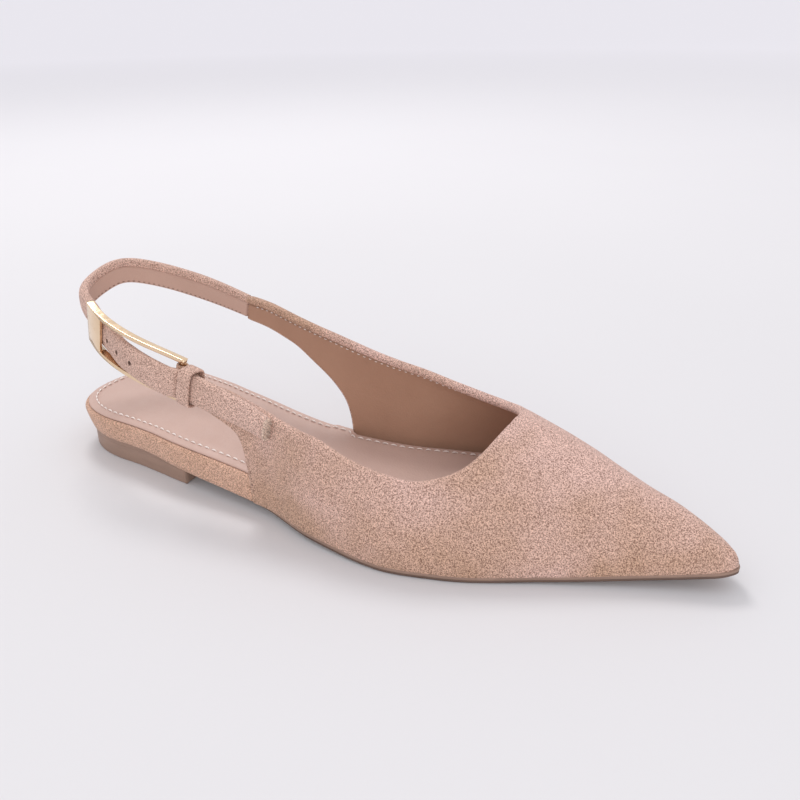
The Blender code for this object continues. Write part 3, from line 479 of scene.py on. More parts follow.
BAR_AT = base_length(BAR_STATION * LENGTH)
PLATE_AT = BAR_AT - FRAME_LENGTH
STUD_AT = PLATE_AT + STUD_PLACE * FRAME_PLATE
PLATE_END = PLATE_AT + FRAME_PLATE
STRAP_LENGTH = float(BASE[1][-1])

# Where the strap lies beside the shared line: length along it, distance outward, distance downward.
# It goes in under the plate, out through the window and over the end bar.
STRAP_PASS = (
    ("length", "out", "down"),
    (0.0, 0.0, 0.0),
    (PLATE_AT - IN_RUN, 0.0, 0.0),
    (PLATE_AT - CLEARANCE, PLATE_LAYER, 0.0),
    (PLATE_END + CLEARANCE, PLATE_LAYER, SAG_IN),
    (PLATE_END + OUT_RUN, WINDOW_LAYER, SAG_OUT),
    (BAR_AT - OVER_RUN, BAR_LAYER, SAG_OUT),
    (BAR_AT + CLEARANCE, BAR_LAYER, SAG_BAR),
    (BAR_AT + CLOSING, KEEPER_LAYER, SAG_BAR),
    (STRAP_LENGTH, KEEPER_LAYER, 0.0),
)
STRAP_WIDTHS = (
    ("length", "width", "crown"),
    (0.0, STRAP_SEAM, STRAP_THICK),
    (STRAP_GROWN, STRAP_HEEL, STRAP_PAD),
    (PLATE_AT - IN_RUN, STRAP_HEEL, STRAP_PAD),
    (PLATE_AT - CLEARANCE, STRAP_BUCKLE, STRAP_THICK),
    (BAR_AT + KEEPER_WIDTH, STRAP_BUCKLE, STRAP_THICK),
    (STRAP_LENGTH, STRAP_END, STRAP_THICK),
)


def strap_point(at, out=0.0, up=0.0):
    return base_point(at, ease(STRAP_PASS, "out", at) + out, up - ease(STRAP_PASS, "down", at))


# Node materials
class Shader:
    """A Principled material with short calls for the nodes that feed it."""

    def __init__(self, name, **constants):
        self.material = bpy.data.materials.new(name)
        self.material.use_nodes = True
        self.tree = self.material.node_tree
        self.main = self.tree.nodes["Principled BSDF"]
        for key, value in constants.items():
            self.main.inputs[key.replace("_", " ")].default_value = value
        self.where = self.tree.nodes.new("ShaderNodeTexCoord").outputs["Object"]

    def add(self, kind, **settings):
        node = self.tree.nodes.new(kind)
        for key, value in settings.items():
            setattr(node, key, value)
        return node

    def link(self, source, target):
        self.tree.links.new(source, target)

    def stretch(self, scale):
        node = self.add("ShaderNodeMapping")
        node.inputs["Scale"].default_value = scale
        self.link(self.where, node.inputs["Vector"])
        return node.outputs["Vector"]

    def noise(self, scale, detail=3.0, rough=0.5, vector=None, distortion=0.0):
        node = self.add("ShaderNodeTexNoise")
        node.inputs["Scale"].default_value = scale
        node.inputs["Detail"].default_value = detail
        node.inputs["Roughness"].default_value = rough
        node.inputs["Distortion"].default_value = distortion
        self.link(vector or self.where, node.inputs["Vector"])
        return node.outputs["Fac"]

    def cells(self, scale):
        node = self.add("ShaderNodeTexVoronoi")
        node.inputs["Scale"].default_value = scale
        self.link(self.where, node.inputs["Vector"])
        return node.outputs["Distance"]

    def ramp(self, value, *stops):
        node = self.add("ShaderNodeValToRGB")
        while len(node.color_ramp.elements) < len(stops):
            node.color_ramp.elements.new(0.5)
        for element, (place, colour) in zip(node.color_ramp.elements, stops):
            element.position = place
            element.color = (*colour, 1.0)
        self.link(value, node.inputs["Fac"])
        return node.outputs["Color"]

    def mix(self, a, b, amount, kind="MIX"):
        node = self.add("ShaderNodeMix", data_type="RGBA", blend_type=kind)
        colours = [socket for socket in node.inputs if socket.type == "RGBA"]
        for socket, value in zip([node.inputs["Factor"]] + colours, (amount, a, b)):
            self.feed(socket, value)
        return [socket for socket in node.outputs if socket.type == "RGBA"][0]

    def feed(self, socket, value):
        if isinstance(value, bpy.types.NodeSocket):
            self.link(value, socket)
        else:
            socket.default_value = (*value, 1.0) if socket.type == "RGBA" else value

    def sum(self, a, b, kind="ADD"):
        node = self.add("ShaderNodeMath", operation=kind)
        for socket, value in zip(node.inputs, (a, b)):
            self.feed(socket, value)
        return node.outputs["Value"]

    def spread(self, value, low, high, out_low, out_high):
        node = self.add("ShaderNodeMapRange")
        for key, number in (("From Min", low), ("From Max", high), ("To Min", out_low), ("To Max", out_high)):
            node.inputs[key].default_value = number
        self.link(value, node.inputs["Value"])
        return node.outputs["Result"]

    def axis(self, name):
        node = self.add("ShaderNodeSeparateXYZ")
        self.link(self.where, node.inputs["Vector"])
        return node.outputs[name]

    def colour(self, socket):
        self.link(socket, self.main.inputs["Base Color"])

    def roughness(self, socket):
        self.link(socket, self.main.inputs["Roughness"])

    def bump(self, *layers):
        """Each layer is a height socket and its depth in metres."""
        before = None
        for height, depth in layers:
            node = self.add("ShaderNodeBump")
            node.inputs["Strength"].default_value = 1.0
            node.inputs["Distance"].default_value = depth
            self.link(height, node.inputs["Height"])
            if before:
                self.link(before, node.inputs["Normal"])
            before = node.outputs["Normal"]
        self.link(before, self.main.inputs["Normal"])


def suede(name, pink, tan, dark):
    """Brushed suede: clouds of pink and tan, painted light that makes it paler and pinker towards the top, a
    pebbly nap of half a millimetre and a soft sheen.
    """
    s = Shader(name, Sheen_Weight=0.25, Sheen_Roughness=0.45, Specular_IOR_Level=0.12, Roughness=0.92)
    s.main.inputs["Sheen Tint"].default_value = (1.0, 0.88, 0.83, 1.0)
    clouds = s.noise(24, 3, 0.55)
    # Painted light: paler and pinker towards the top, where the key lamp falls from above, darker and tanner
    # lower down
    height = s.spread(s.axis("Z"), 0.005, 0.050, -0.10, 0.12)
    along = s.spread(s.axis("X"), 0.040, 0.190, -0.24, 0.10)
    base = s.ramp(s.sum(s.sum(clouds, height), along), (0.30, tan), (0.60, pink))
    nap_big = s.noise(2300, 1, 0.5, distortion=0.3)
    nap_small = s.noise(4200, 1, 0.5)
    both = s.sum(s.sum(nap_big, 0.6, "MULTIPLY"), s.sum(nap_small, 0.4, "MULTIPLY"))
    grain = s.ramp(both, (0.39, dark), (0.50, (1.0, 1.0, 1.0)), (0.61, (1.52, 1.50, 1.46)))
    s.colour(s.mix(base, grain, 1.0, "MULTIPLY"))
    s.bump((nap_big, 0.00036), (nap_small, 0.00010), (clouds, 0.0006))
    return s.material


def lining(name, light, shade, rough=0.55):
    """Smooth coated lining: faint clouds, fine pores and a dull gloss."""
    s = Shader(name, Specular_IOR_Level=0.35)
    clouds = s.noise(30, 4, 0.6)
    pores = s.cells(1500)
    base = s.ramp(clouds, (0.30, shade), (0.70, light))
    fine = s.ramp(pores, (0.0, (0.90, 0.89, 0.88)), (0.35, (1.0, 1.0, 1.0)))
    s.colour(s.mix(base, fine, 0.5, "MULTIPLY"))
    s.roughness(s.spread(s.noise(180, 3), 0.3, 0.7, rough - 0.08, rough + 0.10))
    s.bump((pores, 0.00006), (s.noise(90, 4, 0.6), 0.0003))
    return s.material


def sole_skin(name, light, dark):
    """Sole and heel: smooth brown compound with a faint grain along the shoe and a dull wax."""
    s = Shader(name, Specular_IOR_Level=0.35)
    streaks = s.noise(1.0, 3, 0.5, s.stretch((90, 90, 420)))
    specks = s.noise(1800, 3, 0.6)
    base = s.ramp(streaks, (0.30, dark), (0.70, light))
    fine = s.ramp(specks, (0.35, (0.84, 0.83, 0.82)), (0.55, (1.0, 1.0, 1.0)))
    s.colour(s.mix(base, fine, 0.6, "MULTIPLY"))
    s.roughness(s.spread(specks, 0.3, 0.7, 0.40, 0.62))
    s.bump((streaks, 0.00004), (specks, 0.00004))
    return s.material


def metal(name, colour, worn):
    """Polished plating: even colour with faint clouding, hairline wear in the roughness."""
    s = Shader(name, Metallic=1.0)
    clouds = s.noise(160, 3, 0.5)
    s.colour(s.ramp(clouds, (0.3, worn), (0.7, colour)))
    s.roughness(s.spread(s.noise(1.0, 4, 0.6, s.stretch((300, 300, 2600))), 0.35, 0.65, 0.10, 0.20))
    s.bump((clouds, 0.00002))
    return s.material


def thread(name, colour, dark):
    """Twisted sewing thread."""
    s = Shader(name, Roughness=0.75, Specular_IOR_Level=0.3, Sheen_Weight=0.3)
    twist = s.noise(5200, 2, 0.6)
    s.colour(s.ramp(twist, (0.35, dark), (0.60, colour)))
    s.bump((twist, 0.00008))
    return s.material


SUEDE = suede("suede", (0.615, 0.417, 0.362), (0.480, 0.305, 0.220), (0.50, 0.43, 0.39))
SUEDE_STRAP = suede("suede_strap", (0.625, 0.430, 0.368), (0.565, 0.380, 0.312), (0.50, 0.43, 0.39))
SUEDE_RAND = suede("suede_rand", (0.630, 0.410, 0.315), (0.570, 0.360, 0.262), (0.54, 0.47, 0.43))
RAW = suede("raw_edge", (0.86, 0.70, 0.60), (0.72, 0.54, 0.44), (0.46, 0.38, 0.33))
LINING = lining("lining", (0.440, 0.255, 0.174), (0.395, 0.223, 0.150))
# Painted shade: a darker copy of the lining for the inside band between the padded roll and its stitched
# groove
CREASE_SHADE = lining("crease", (0.240, 0.140, 0.100), (0.200, 0.115, 0.080), 0.7)
SOCK_SKIN = lining("sock_skin", (0.580, 0.402, 0.342), (0.535, 0.366, 0.308), 0.48)
EDGE_SKIN = lining("edge_skin", (0.56, 0.37, 0.30), (0.50, 0.325, 0.26), 0.6)
SOLE_TOP = sole_skin("sole_top", (0.330, 0.215, 0.165), (0.280, 0.180, 0.138))
# Painted shade: a darker copy of the sole's compound for the lower half of its edge, towards the floor
SOLE_SHADE = sole_skin("sole_shade", (0.150, 0.093, 0.070), (0.120, 0.073, 0.055))
HEEL_SKIN = sole_skin("heel_skin", (0.345, 0.225, 0.172), (0.300, 0.195, 0.150))
GOLD = metal("gold", (0.87, 0.66, 0.45), (0.81, 0.60, 0.39))
THREAD_LIGHT = thread("thread_light", (0.95, 0.86, 0.81), (0.80, 0.68, 0.62))
# Dark brown thread; the same colour goes on the walls of the strap's holes as painted shade
DARK_THREAD_AND_HOLE_SHADE = thread("thread_dark_and_hole_shade", (0.30, 0.18, 0.14), (0.17, 0.10, 0.075))


# Meshes
END = -1                    # place that stands for a tube's end cap


def mesh_from(name, points, faces, indices=None):
    """Mesh with its faces turned outward. indices gives each face its material."""
    mesh = bpy.data.meshes.new(name)
    mesh.from_pydata([tuple(p) for p in points], [], [tuple(f) for f in faces])
    if indices is not None:
        mesh.polygons.foreach_set("material_index", np.asarray(indices, dtype=np.int32))
    clean = bmesh.new()
    clean.from_mesh(mesh)
    bmesh.ops.remove_doubles(clean, verts=clean.verts, dist=1e-7)
    bmesh.ops.recalc_face_normals(clean, faces=clean.faces)
    clean.to_mesh(mesh)
    clean.free()
    return mesh


def publish(name, mesh, materials, nodes=()):
    """One piece in the scene, riding on the shoe, in place of the solids that nodes names."""
    for material in materials:
        mesh.materials.append(material)
    mesh.shade_smooth()
    obj = bpy.data.objects.new(name, mesh)
    bpy.context.scene.collection.objects.link(obj)
    if nodes:
        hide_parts(*nodes)
    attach(obj, "root")
    return obj


def quad(one, two, j, count):
    """Face between two rings of count points, from place j to the next."""
    after = (j + 1) % count
    return one * count + j, one * count + after, two * count + after, two * count + j


def tube(rings, closed=False, pick=None):
    """Points and faces of rings of equal count, with each face's material index from pick(ring, place)."""
    rings = np.asarray(rings, float)
    n, m = rings.shape[:2]
    sides = [(i, j) for i in range(n if closed else n - 1) for j in range(m)]
    faces = [quad(i, (i + 1) % n, j, m) for i, j in sides]
    if not closed:
        faces += [tuple(range(m)), tuple(range((n - 1) * m, n * m))]
        sides += [(0, END), (n - 1, END)]
    return rings.reshape(-1, 3), faces, [pick(i, j) for i, j in sides] if pick else None


def joined(tubes):
    """Many small tubes as one set of points and faces."""
    points, faces = [], []
    for spots, some, _ in tubes:
        start = len(points)
        points.extend(spots)
        faces.extend(tuple(start + k for k in face) for face in some)
    return points, faces


def circle(axis, sides, hint=(0.3, 0.2, 1.0)):
    """Unit circle of points round an axis, begun at right angles to the hint."""
    side = unit(np.cross(axis, hint))
    turn = 2 * math.pi * np.arange(sides)[:, None] / sides
    return side * np.cos(turn) + np.cross(axis, side) * np.sin(turn)


def bent(value, power):
    """Power of a cosine or sine that keeps its sign, for round corners."""
    return math.copysign(abs(value) ** power, value)


# Upper
def rib_rows(ribs):
    """The ribs of one side and of the toe, with fine rows between them."""
    table = np.array(ribs[1:] + TOE_RIBS[1:], float)
    at = np.arange(len(table), dtype=float)
    fine = np.linspace(0, len(table) - 1, (len(table) - 1) * BETWEEN + 1)
    return np.stack([monotone(at, table[:, k], fine) for k in range(4)], 1)


RISE = 1 - (1 - np.linspace(0, 1, UP_STEPS + 1)) ** 1.8     # rows up a rib, closer near the topline
THROAT = (len(OUTER_RIBS) - 2) * BETWEEN
FAR_BELOW = 0.1             # depth that stands for no topline nearby


def on_ribs(rows, s):
    """Stations and heights on the last, at the shares s up each rib."""
    share = rows[:, :1] + (rows[:, 2:3] - rows[:, :1]) * s
    up = rows[:, 1:2] + (rows[:, 3:4] - rows[:, 1:2]) * s
    return share, up


def rib_lengths(side, rows):
    points = last(side, *on_ribs(rows, np.linspace(0, 1, UP_STEPS + 1)[None, :]))
    steps = np.linalg.norm(np.diff(points, axis=1), axis=2)
    return np.concatenate([np.zeros((len(rows), 1)), np.cumsum(steps, axis=1)], axis=1)


def at_depth(side, rows, depth, from_top=True):
    """Points and normals on the last along the ribs, at a depth below the topline or above the lower edge."""
    lengths = rib_lengths(side, rows)
    grid = np.linspace(0, 1, UP_STEPS + 1)
    s = []
    for line, want in zip(lengths, np.broadcast_to(depth, (len(rows),))):
        target = line[-1] - want if from_top else want
        s.append(np.interp(target, line, grid))
    share, up = on_ribs(rows, np.array(s)[:, None])
    return last(side, share, up)[:, 0], last_normal(side, share, up)[:, 0]


def fold_lines():
    """The outer quarter's end, folded round the buckle's end bar."""
    heights = FOLD_WIDTH * (RISE - 0.5)
    middle = (FOLD_AT_BAR + FOLD_CLOSED) / 2
    behind = ((FOLD_RETURN, FOLD_CLOSED), (CLOSING, FOLD_CLOSED), (CLOSING / 2, middle))
    lines = [base_point(BAR_AT + ahead, -reach, heights) for ahead, reach in behind]
    for degrees in range(180, -1, -10):
        turn = math.radians(degrees)
        lines.append(base_point(BAR_AT - math.sin(turn) * FOLD_AT_BAR, math.cos(turn) * FOLD_AT_BAR, heights))
    lines += [base_point(BAR_AT + ahead, reach, heights) for ahead, reach in behind[::-1]]
    return np.array(lines)


def wall_at(depth, padded):
    """Thickness of the upper by depth below the topline: padded roll, stitched groove, plain wall."""
    roll = 1 - blend(ROLL * 0.72, GROOVE, depth)
    groove = np.exp(-((depth - GROOVE) / 0.0006) ** 2)
    return WALL + padded * ((TOPLINE + CLEARANCE - WALL) * roll - GROOVE_DEEP * groove)


def upper_side(side, ribs):
    """One side of the upper's outside: points, depth below the topline and wall, a row for each rib."""
    rows = rib_rows(ribs)
    at = np.arange(len(rows))
    pad = 1 - blend(THROAT - 2 * BETWEEN, THROAT, at)
    before = at < THROAT
    lengths = rib_lengths(side, rows)
    pull = np.where(before, (WALL + (TOPLINE - WALL) * pad) / 2, 0.0)
    s = RISE[None, :] * (1 - pull / lengths[:, -1])[:, None]
    points = last(side, *on_ribs(rows, s))
    depth = np.where(before[:, None], lengths[:, -1:] * (1 - s), FAR_BELOW)
    wall = wall_at(depth, pad[:, None] * np.ones_like(depth))
    if side == OUTER:
        fold = fold_lines()
        wall = FOLD_WALL + (wall - FOLD_WALL) * blend(0, 2 * BETWEEN, at)[:, None]
        points = np.concatenate([fold, points])
        depth = np.concatenate([np.full(fold.shape[:2], FAR_BELOW), depth])
        wall = np.concatenate([np.full(fold.shape[:2], FOLD_WALL), wall])
    return placed(points), depth, wall


def edge_rounds(maker, outside, inside, normals, wall):
    """Points and faces that close the wall along every open border with a half round."""
    tangents = {}
    borders = [edge for edge in maker.edges if edge.is_boundary]
    for edge in borders:
        face = edge.link_faces[0]
        middle = (edge.verts[0].co + edge.verts[1].co) / 2
        away = (edge.verts[1].co - edge.verts[0].co).cross(face.normal)
        if away.dot(face.calc_center_median() - middle) > 0:
            away.negate()
        for vert in edge.verts:
            tangents.setdefault(vert.index, []).append(np.array(away.normalized()))
    n = len(outside)
    points, rows, faces = [], {}, []
    for index, away in tangents.items():
        out = unit(np.mean(away, axis=0))
        centre = (outside[index] + inside[index]) / 2
        first = 2 * n + len(points)
        rows[index] = [index, *range(first, first + EDGE_STEPS - 1), n + index]
        for k in range(1, EDGE_STEPS):
            turn = math.pi * k / EDGE_STEPS
            round_off = normals[index] * math.cos(turn) + out * math.sin(turn) * 0.9
            points.append(centre + wall[index] / 2 * round_off)
    for edge in borders:
        one, two = (rows[vert.index] for vert in edge.verts)
        faces += [(one[k], one[k + 1], two[k + 1], two[k]) for k in range(EDGE_STEPS)]
    return points, faces


def make_upper():
    """Hollow suede upper with a padded, stitched topline, a lining with a band of painted shade under the
    roll, faint waves and round edges.
    """
    maker = bmesh.new()
    depth_layer = maker.verts.layers.float.new("depth")
    wall_layer = maker.verts.layers.float.new("wall")
    for side, ribs in ((OUTER, OUTER_RIBS), (INNER, INNER_RIBS)):
        points, depth, wall = upper_side(side, ribs)
        grid = [[maker.verts.new(p) for p in line] for line in points]
        for i, line in enumerate(grid):
            for j, vert in enumerate(line):
                vert[depth_layer] = depth[i, j]
                vert[wall_layer] = wall[i, j]
        for one, two in zip(grid, grid[1:]):
            for j in range(UP_STEPS):
                corners = (one[j], one[j + 1], two[j + 1], two[j])
                maker.faces.new(corners[::-1] if side == OUTER else corners)
    bmesh.ops.remove_doubles(maker, verts=maker.verts, dist=1e-6)
    maker.normal_update()
    maker.verts.ensure_lookup_table()
    maker.verts.index_update()
    outside = np.array([v.co for v in maker.verts])
    normals = np.array([v.normal for v in maker.verts])
    wall = np.array([v[wall_layer] for v in maker.verts])
    depth = np.array([v[depth_layer] for v in maker.verts])
    soft = blend(0.004, 0.012, depth) * blend(0.004, 0.016, outside[:, 2])
    waves = np.array([noise.noise(Vector(p) * 38) for p in outside])
    outside = outside + normals * (waves * 0.00035 * soft)[:, None]
    inside = outside - normals * wall[:, None]
    faces, indices = [], []
    for face in maker.faces:
        ring = [v.index for v in face.verts]
        here = np.mean(depth[ring])
        faces += [ring, [len(outside) + k for k in ring[::-1]]]
        # Inside faces: suede where the roll turns in, painted shade down to the stitched groove, lining below
        indices += [0, 0 if here < ROLL else 2 if here < GROOVE + 0.0001 else 1]
    rounds, more = edge_rounds(maker, outside, inside, normals, wall)
    maker.free()
    indices += [0] * len(more)
    mesh = mesh_from("suede_upper", np.concatenate([outside, inside, rounds]), faces + more, indices)
    publish("suede_upper", mesh, [SUEDE, LINING, CREASE_SHADE], ["upper"])


# Stitches
def stitches(name, path, normals, stitch, lift, material):
    """A row of short sewn threads along a path, each one arched, with its ends in the leather."""
    pitch, length, radius = stitch
    path, normals = placed(path), unit(normals)
    run = np.concatenate([[0], np.cumsum(np.linalg.norm(np.diff(path, axis=0), axis=1))])

    def read(table, at):
        return np.array([np.interp(np.clip(at, 0, run[-1]), run, values) for values in table.T])

    turn = 2 * math.pi * np.arange(STITCH_SIDES)[:, None] / STITCH_SIDES
    threads = []
    for centre in np.arange(pitch / 2, run[-1] - pitch / 2, pitch):
        along = unit(read(path, centre + length / 2) - read(path, centre - length / 2))
        normal = unit(read(normals, centre))
        across = unit(np.cross(along, normal))
        rings = []
        for t in np.linspace(-1, 1, STITCH_SLICES):
            thick = radius * math.sqrt(max(0.08, 1 - 0.85 * t * t))
            spot = read(path, centre) + along * t * length / 2 + normal * radius * (lift - 1.1 * t * t)
            rings.append(spot + thick * (across * np.cos(turn) + normal * np.sin(turn)))
        threads.append(tube(rings))
    publish(name, mesh_from(name, *joined(threads)), [material])


def upper_stitches():
    """Light thread inside the padded topline, dark thread down each quarter's rear edge."""
    for side, ribs, name in ((OUTER, OUTER_RIBS, "outer"), (INNER, INNER_RIBS, "inner")):
        rows = rib_rows(ribs)
        top = rows[2:THROAT - 3]
        points, normals = at_depth(side, top, GROOVE)
        sunk = points - normals * WALL
        stitches(f"topline_thread_{name}", sunk, -normals, TOPLINE_STITCH, 0.3, THREAD_LIGHT)
        rear = rows[2:BETWEEN * (6 if side == OUTER else 7) + 1]
        points, normals = at_depth(side, rear, 0.0016, from_top=False)
        stitches(f"rear_thread_{name}", points, normals, REAR_STITCH, 0.0, DARK_THREAD_AND_HOLE_SHADE)


# Sole, footbed and sock
def plan_loop():
    """Closed outline of the outsole with outward directions, from the toe along the outer side and back."""
    angle = np.linspace(0.02, math.pi - 0.02, PLAN_STEPS)
    x = LENGTH * (1 - np.cos(angle)) / 2
    line = np.concatenate([np.stack([x[::-1], -half_width(OUTER, x[::-1])], 1),
                           np.stack([x, half_width(INNER, x)], 1)])
    along = np.roll(line, -1, 0) - np.roll(line, 1, 0)
    out = unit(np.stack([along[:, 1], -along[:, 0]], 1))
    out *= np.sign(out[PLAN_STEPS * 3 // 2, 1])
    return line, out


def loop_piece(levels, across, crown=None):
    """Points and faces of stacked closed outlines, with a bottom and a top across them."""
    m = len(levels[0])
    half, base = m // 2, (len(levels) - 1) * m
    sides = [(k, j) for k in range(len(levels) - 1) for j in range(m)]
    faces = [quad(k, k + 1, j, m) for k, j in sides]
    faces += [(i, i + 1, m - 2 - i, m - 1 - i) for i in range(half - 1)]
    indices = [k for k, _ in sides] + [END] * (half - 1)
    top = levels[-1]
    t = np.linspace(0, 1, across + 1)[1:-1, None]
    lines = [top[i] + (top[m - 1 - i] - top[i]) * t for i in range(half)]
    if crown is not None:
        for line in lines:
            line[:, 2] += crown(line)
    rows = []
    for i in range(half):
        first = base + m + i * (across - 1)
        rows.append([base + i, *range(first, first + across - 1), base + m - 1 - i])
    for one, two in zip(rows, rows[1:]):
        faces += [(one[q], one[q + 1], two[q + 1], two[q]) for q in range(across)]
        indices += [len(levels)] * across
    return np.concatenate([*levels, *lines]), faces, indices


def quarter_start(side):
    """Station at which the quarter's rear edge comes down over the footbed's side."""
    ribs = OUTER_RIBS if side == OUTER else INNER_RIBS
    return column(ribs, "low_station")[column(ribs, "low") < RAND_UP].min() * LENGTH


def tuck(line):
    """How far the footbed goes in under the upper, for each point of the outline."""
    starts = np.where(line[:, 1] < 0, quarter_start(OUTER), quarter_start(INNER))
    return (WALL + BOARD_PLAY) * blend(-0.0002, 0.0020, line[:, 0] - starts)


def level(line, out, inset, height, end=math.inf):
    """The plan moved in by inset and cut off at the station end, at a height worked out from the station."""
    flat = line - out * np.broadcast_to(inset, (len(line),))[:, None]
    flat[:, 0] = np.minimum(flat[:, 0], end)
    return placed(np.column_stack([flat, height(flat[:, 0])]))


def rand_edge(line):
    """How far the footbed's top lies in from the plan: out round the heel, in under the quarters."""
    return tuck(line) - RAND_FLARE * sole_edge("rand_top", line[:, 0])


def make_footbed():
    """Board wrapped in suede: a soft side that bulges a little and a round top edge."""
    line, out = plan_loop()
    top = rand_edge(line)
    foot = tuck(line) + RAND_FOOT * sole_edge("rand_foot", line[:, 0])
    end = LENGTH - WALL - BOARD_TIP
    low = lambda x: outsole_top(x) + CLEARANCE * 0.5
    high = lambda x: board_top(x) + 0.0006 - FOOTBED_SOFT
    levels = [level(line, out, foot + 0.0006, low, end)]
    for t in (0.04, 0.2, 0.45, 0.7, 0.9):
        bulge = 0.0002 * math.sin(math.pi * t)
        levels.append(level(line, out, foot + (top - foot) * t - bulge,
                            lambda x, t=t: low(x) + (high(x) - low(x)) * t, end))
    for a in np.linspace(0, math.pi / 2, 7):
        levels.append(level(line, out, top + FOOTBED_SOFT * (1 - math.cos(a)),
                            lambda x, a=a: high(x) + FOOTBED_SOFT * math.sin(a), end))
    levels.append(level(line, out, top + 0.0030, lambda x: board_top(x) + 0.0001, end))
    points, faces, _ = loop_piece(levels, 6)
    mesh = mesh_from("wrapped_footbed", points, faces)
    publish("wrapped_footbed", mesh, [SUEDE_RAND], ["footbed"])


def sock_crown(edge):
    """The sock's soft top by distance from its edge: a groove along its stitches, a roll at the edge."""
    groove = np.exp(-((edge - (SOCK_SEW - SOCK_EDGE)) / 0.0008) ** 2)
    return SOCK_RISE * blend(0.0006, 0.0026, edge) - 0.0003 * groove


def make_sock():
    """Smooth insole lining with a round edge, a soft crown and a sewn line round its rear and waist."""
    line, out = plan_loop()
    inset = rand_edge(line) + SOCK_EDGE * (1 - blend(0, 0.002, line[:, 0] - 0.4 * LENGTH) * 0.75)
    end = LENGTH - WALL - BOARD_TIP - 0.0006
    radius = SOCK * 0.5
    levels = [level(line, out, inset + 0.0002, lambda x: board_top(x) + CLEARANCE + 0.0003, end)]
    for a in np.linspace(0, math.pi / 2, 6):
        levels.append(level(line, out, inset + radius * (1 - math.cos(a)),
                            lambda x, a=a: board_top(x) + CLEARANCE + SOCK - radius * (1 - math.sin(a)), end))
    border = levels[-1][:, :2]

    def crown(points):
        apart = points[:, None, :2] - border[None]
        return sock_crown(np.sqrt((apart**2).sum(-1)).min(1))

    points, faces, _ = loop_piece(levels, 60, crown)
    publish("sock_lining", mesh_from("sock_lining", points, faces), [SOCK_SKIN], ["sock"])
    rise = CLEARANCE + SOCK + SOCK_RISE
    sew = level(line, out, inset + SOCK_SEW - SOCK_EDGE, lambda x: board_top(x) + rise)
    sew = sew[line[:, 0] < 0.80 * LENGTH] + (ORIGIN_STATION, 0, 0)
    upright = np.tile((0, 0, 1.0), (len(sew), 1))
    stitches("sock_thread", sew, upright, SOCK_STITCH, 0.9, THREAD_LIGHT)


# Side of the outsole before the heel: height as a share of its thickness, inset in metres
SOLE_GROOVE = (
    ("height", "inset"),
    (0.00, 0.0008), (0.06, 0.0003), (0.20, 0.0000), (0.42, 0.0000),
    (0.48, 0.00015), (0.54, 0.0000), (0.90, -0.0001), (1.00, 0.0002),
)


def make_outsole():
    """Sole with a lighter upper strip and painted shade along the lower half of its edge, divided by a fine
    groove.
    """
    line, out = plan_loop()
    inset = HEEL_INSET * sole_edge("inset", line[:, 0])
    before_heel = blend(HEEL_BREAST - 0.01, HEEL_BREAST + 0.01, line[:, 0])
    levels = []
    for share, extra in SOLE_GROOVE[1:]:
        levels.append(level(line, out, inset + extra * before_heel,
                            lambda x, share=share: underside(x) + (outsole_top(x) - underside(x)) * share))
    points, faces, indices = loop_piece(levels, 6)
    shades = []
    for face, k in zip(faces, indices):
        station = points[face[0]][0] + ORIGIN_STATION
        # Heel skin behind the breast, painted shade on the lower four bands of the edge, the lighter strip
        # above
        shades.append(2 if station < HEEL_BREAST else 1 if 0 <= k < 4 else 0)
    mesh = mesh_from("sole", points, faces, shades)
    publish("sole", mesh, [SOLE_TOP, SOLE_SHADE, HEEL_SKIN], ["outsole"])


def make_heel():
    """Heel block with softened edges on the floor, up to the outsole, with a flat front face."""
    line, out = plan_loop()
    keep = line[:, 0] < HEEL_BREAST
    line, out = line[keep], out[keep]
    side = line - out * HEEL_INSET
    front = np.linspace(side[-1], side[0], 26)[1:-1]
    loop = np.concatenate([side, front])
    facing = np.concatenate([out, np.tile((1.0, 0.0), (len(front), 1))])
    under = underside(loop[:, 0]) - 0.00004
    rings = []
    for inset, z in ((0.0007, 0), (0.0002, 0.0002), (0.0, 0.0007), (0.0, under - 0.0006), (0.00005, under)):
        rings.append(placed(np.column_stack([loop - facing * inset, np.broadcast_to(z, len(loop))])))
    points, faces, _ = tube(rings)
    publish("heel", mesh_from("heel", points, faces), [HEEL_SKIN], ["heel_block"])


# Strap, keeper and buckle
def strap_section(half, back, front):
    """Section of the strap as distances outward and upward: padded front, rolled edge, flat lined back."""
    section = []
    edge = back + STRAP_EDGE / 2
    for k in range(FRONT_POINTS):
        turn = math.pi * (0.5 - k / (FRONT_POINTS - 1))
        x, y = math.cos(turn), math.sin(turn)
        section.append((edge + (front - edge) * abs(x) ** 0.75, half * bent(y, 0.8)))
    for y in np.linspace(-BACK_HALF, BACK_HALF, BACK_POINTS):
        roll = STRAP_ROLL * blend(ROLL_EDGE, ROLL_EDGE + 0.14, y) * (1 - blend(0.86, 1.0, y))
        crease = 0.00035 * math.exp(-((y - ROLL_EDGE) / 0.05) ** 2)
        section.append((back - roll + crease, half * y))
    return np.array(section)


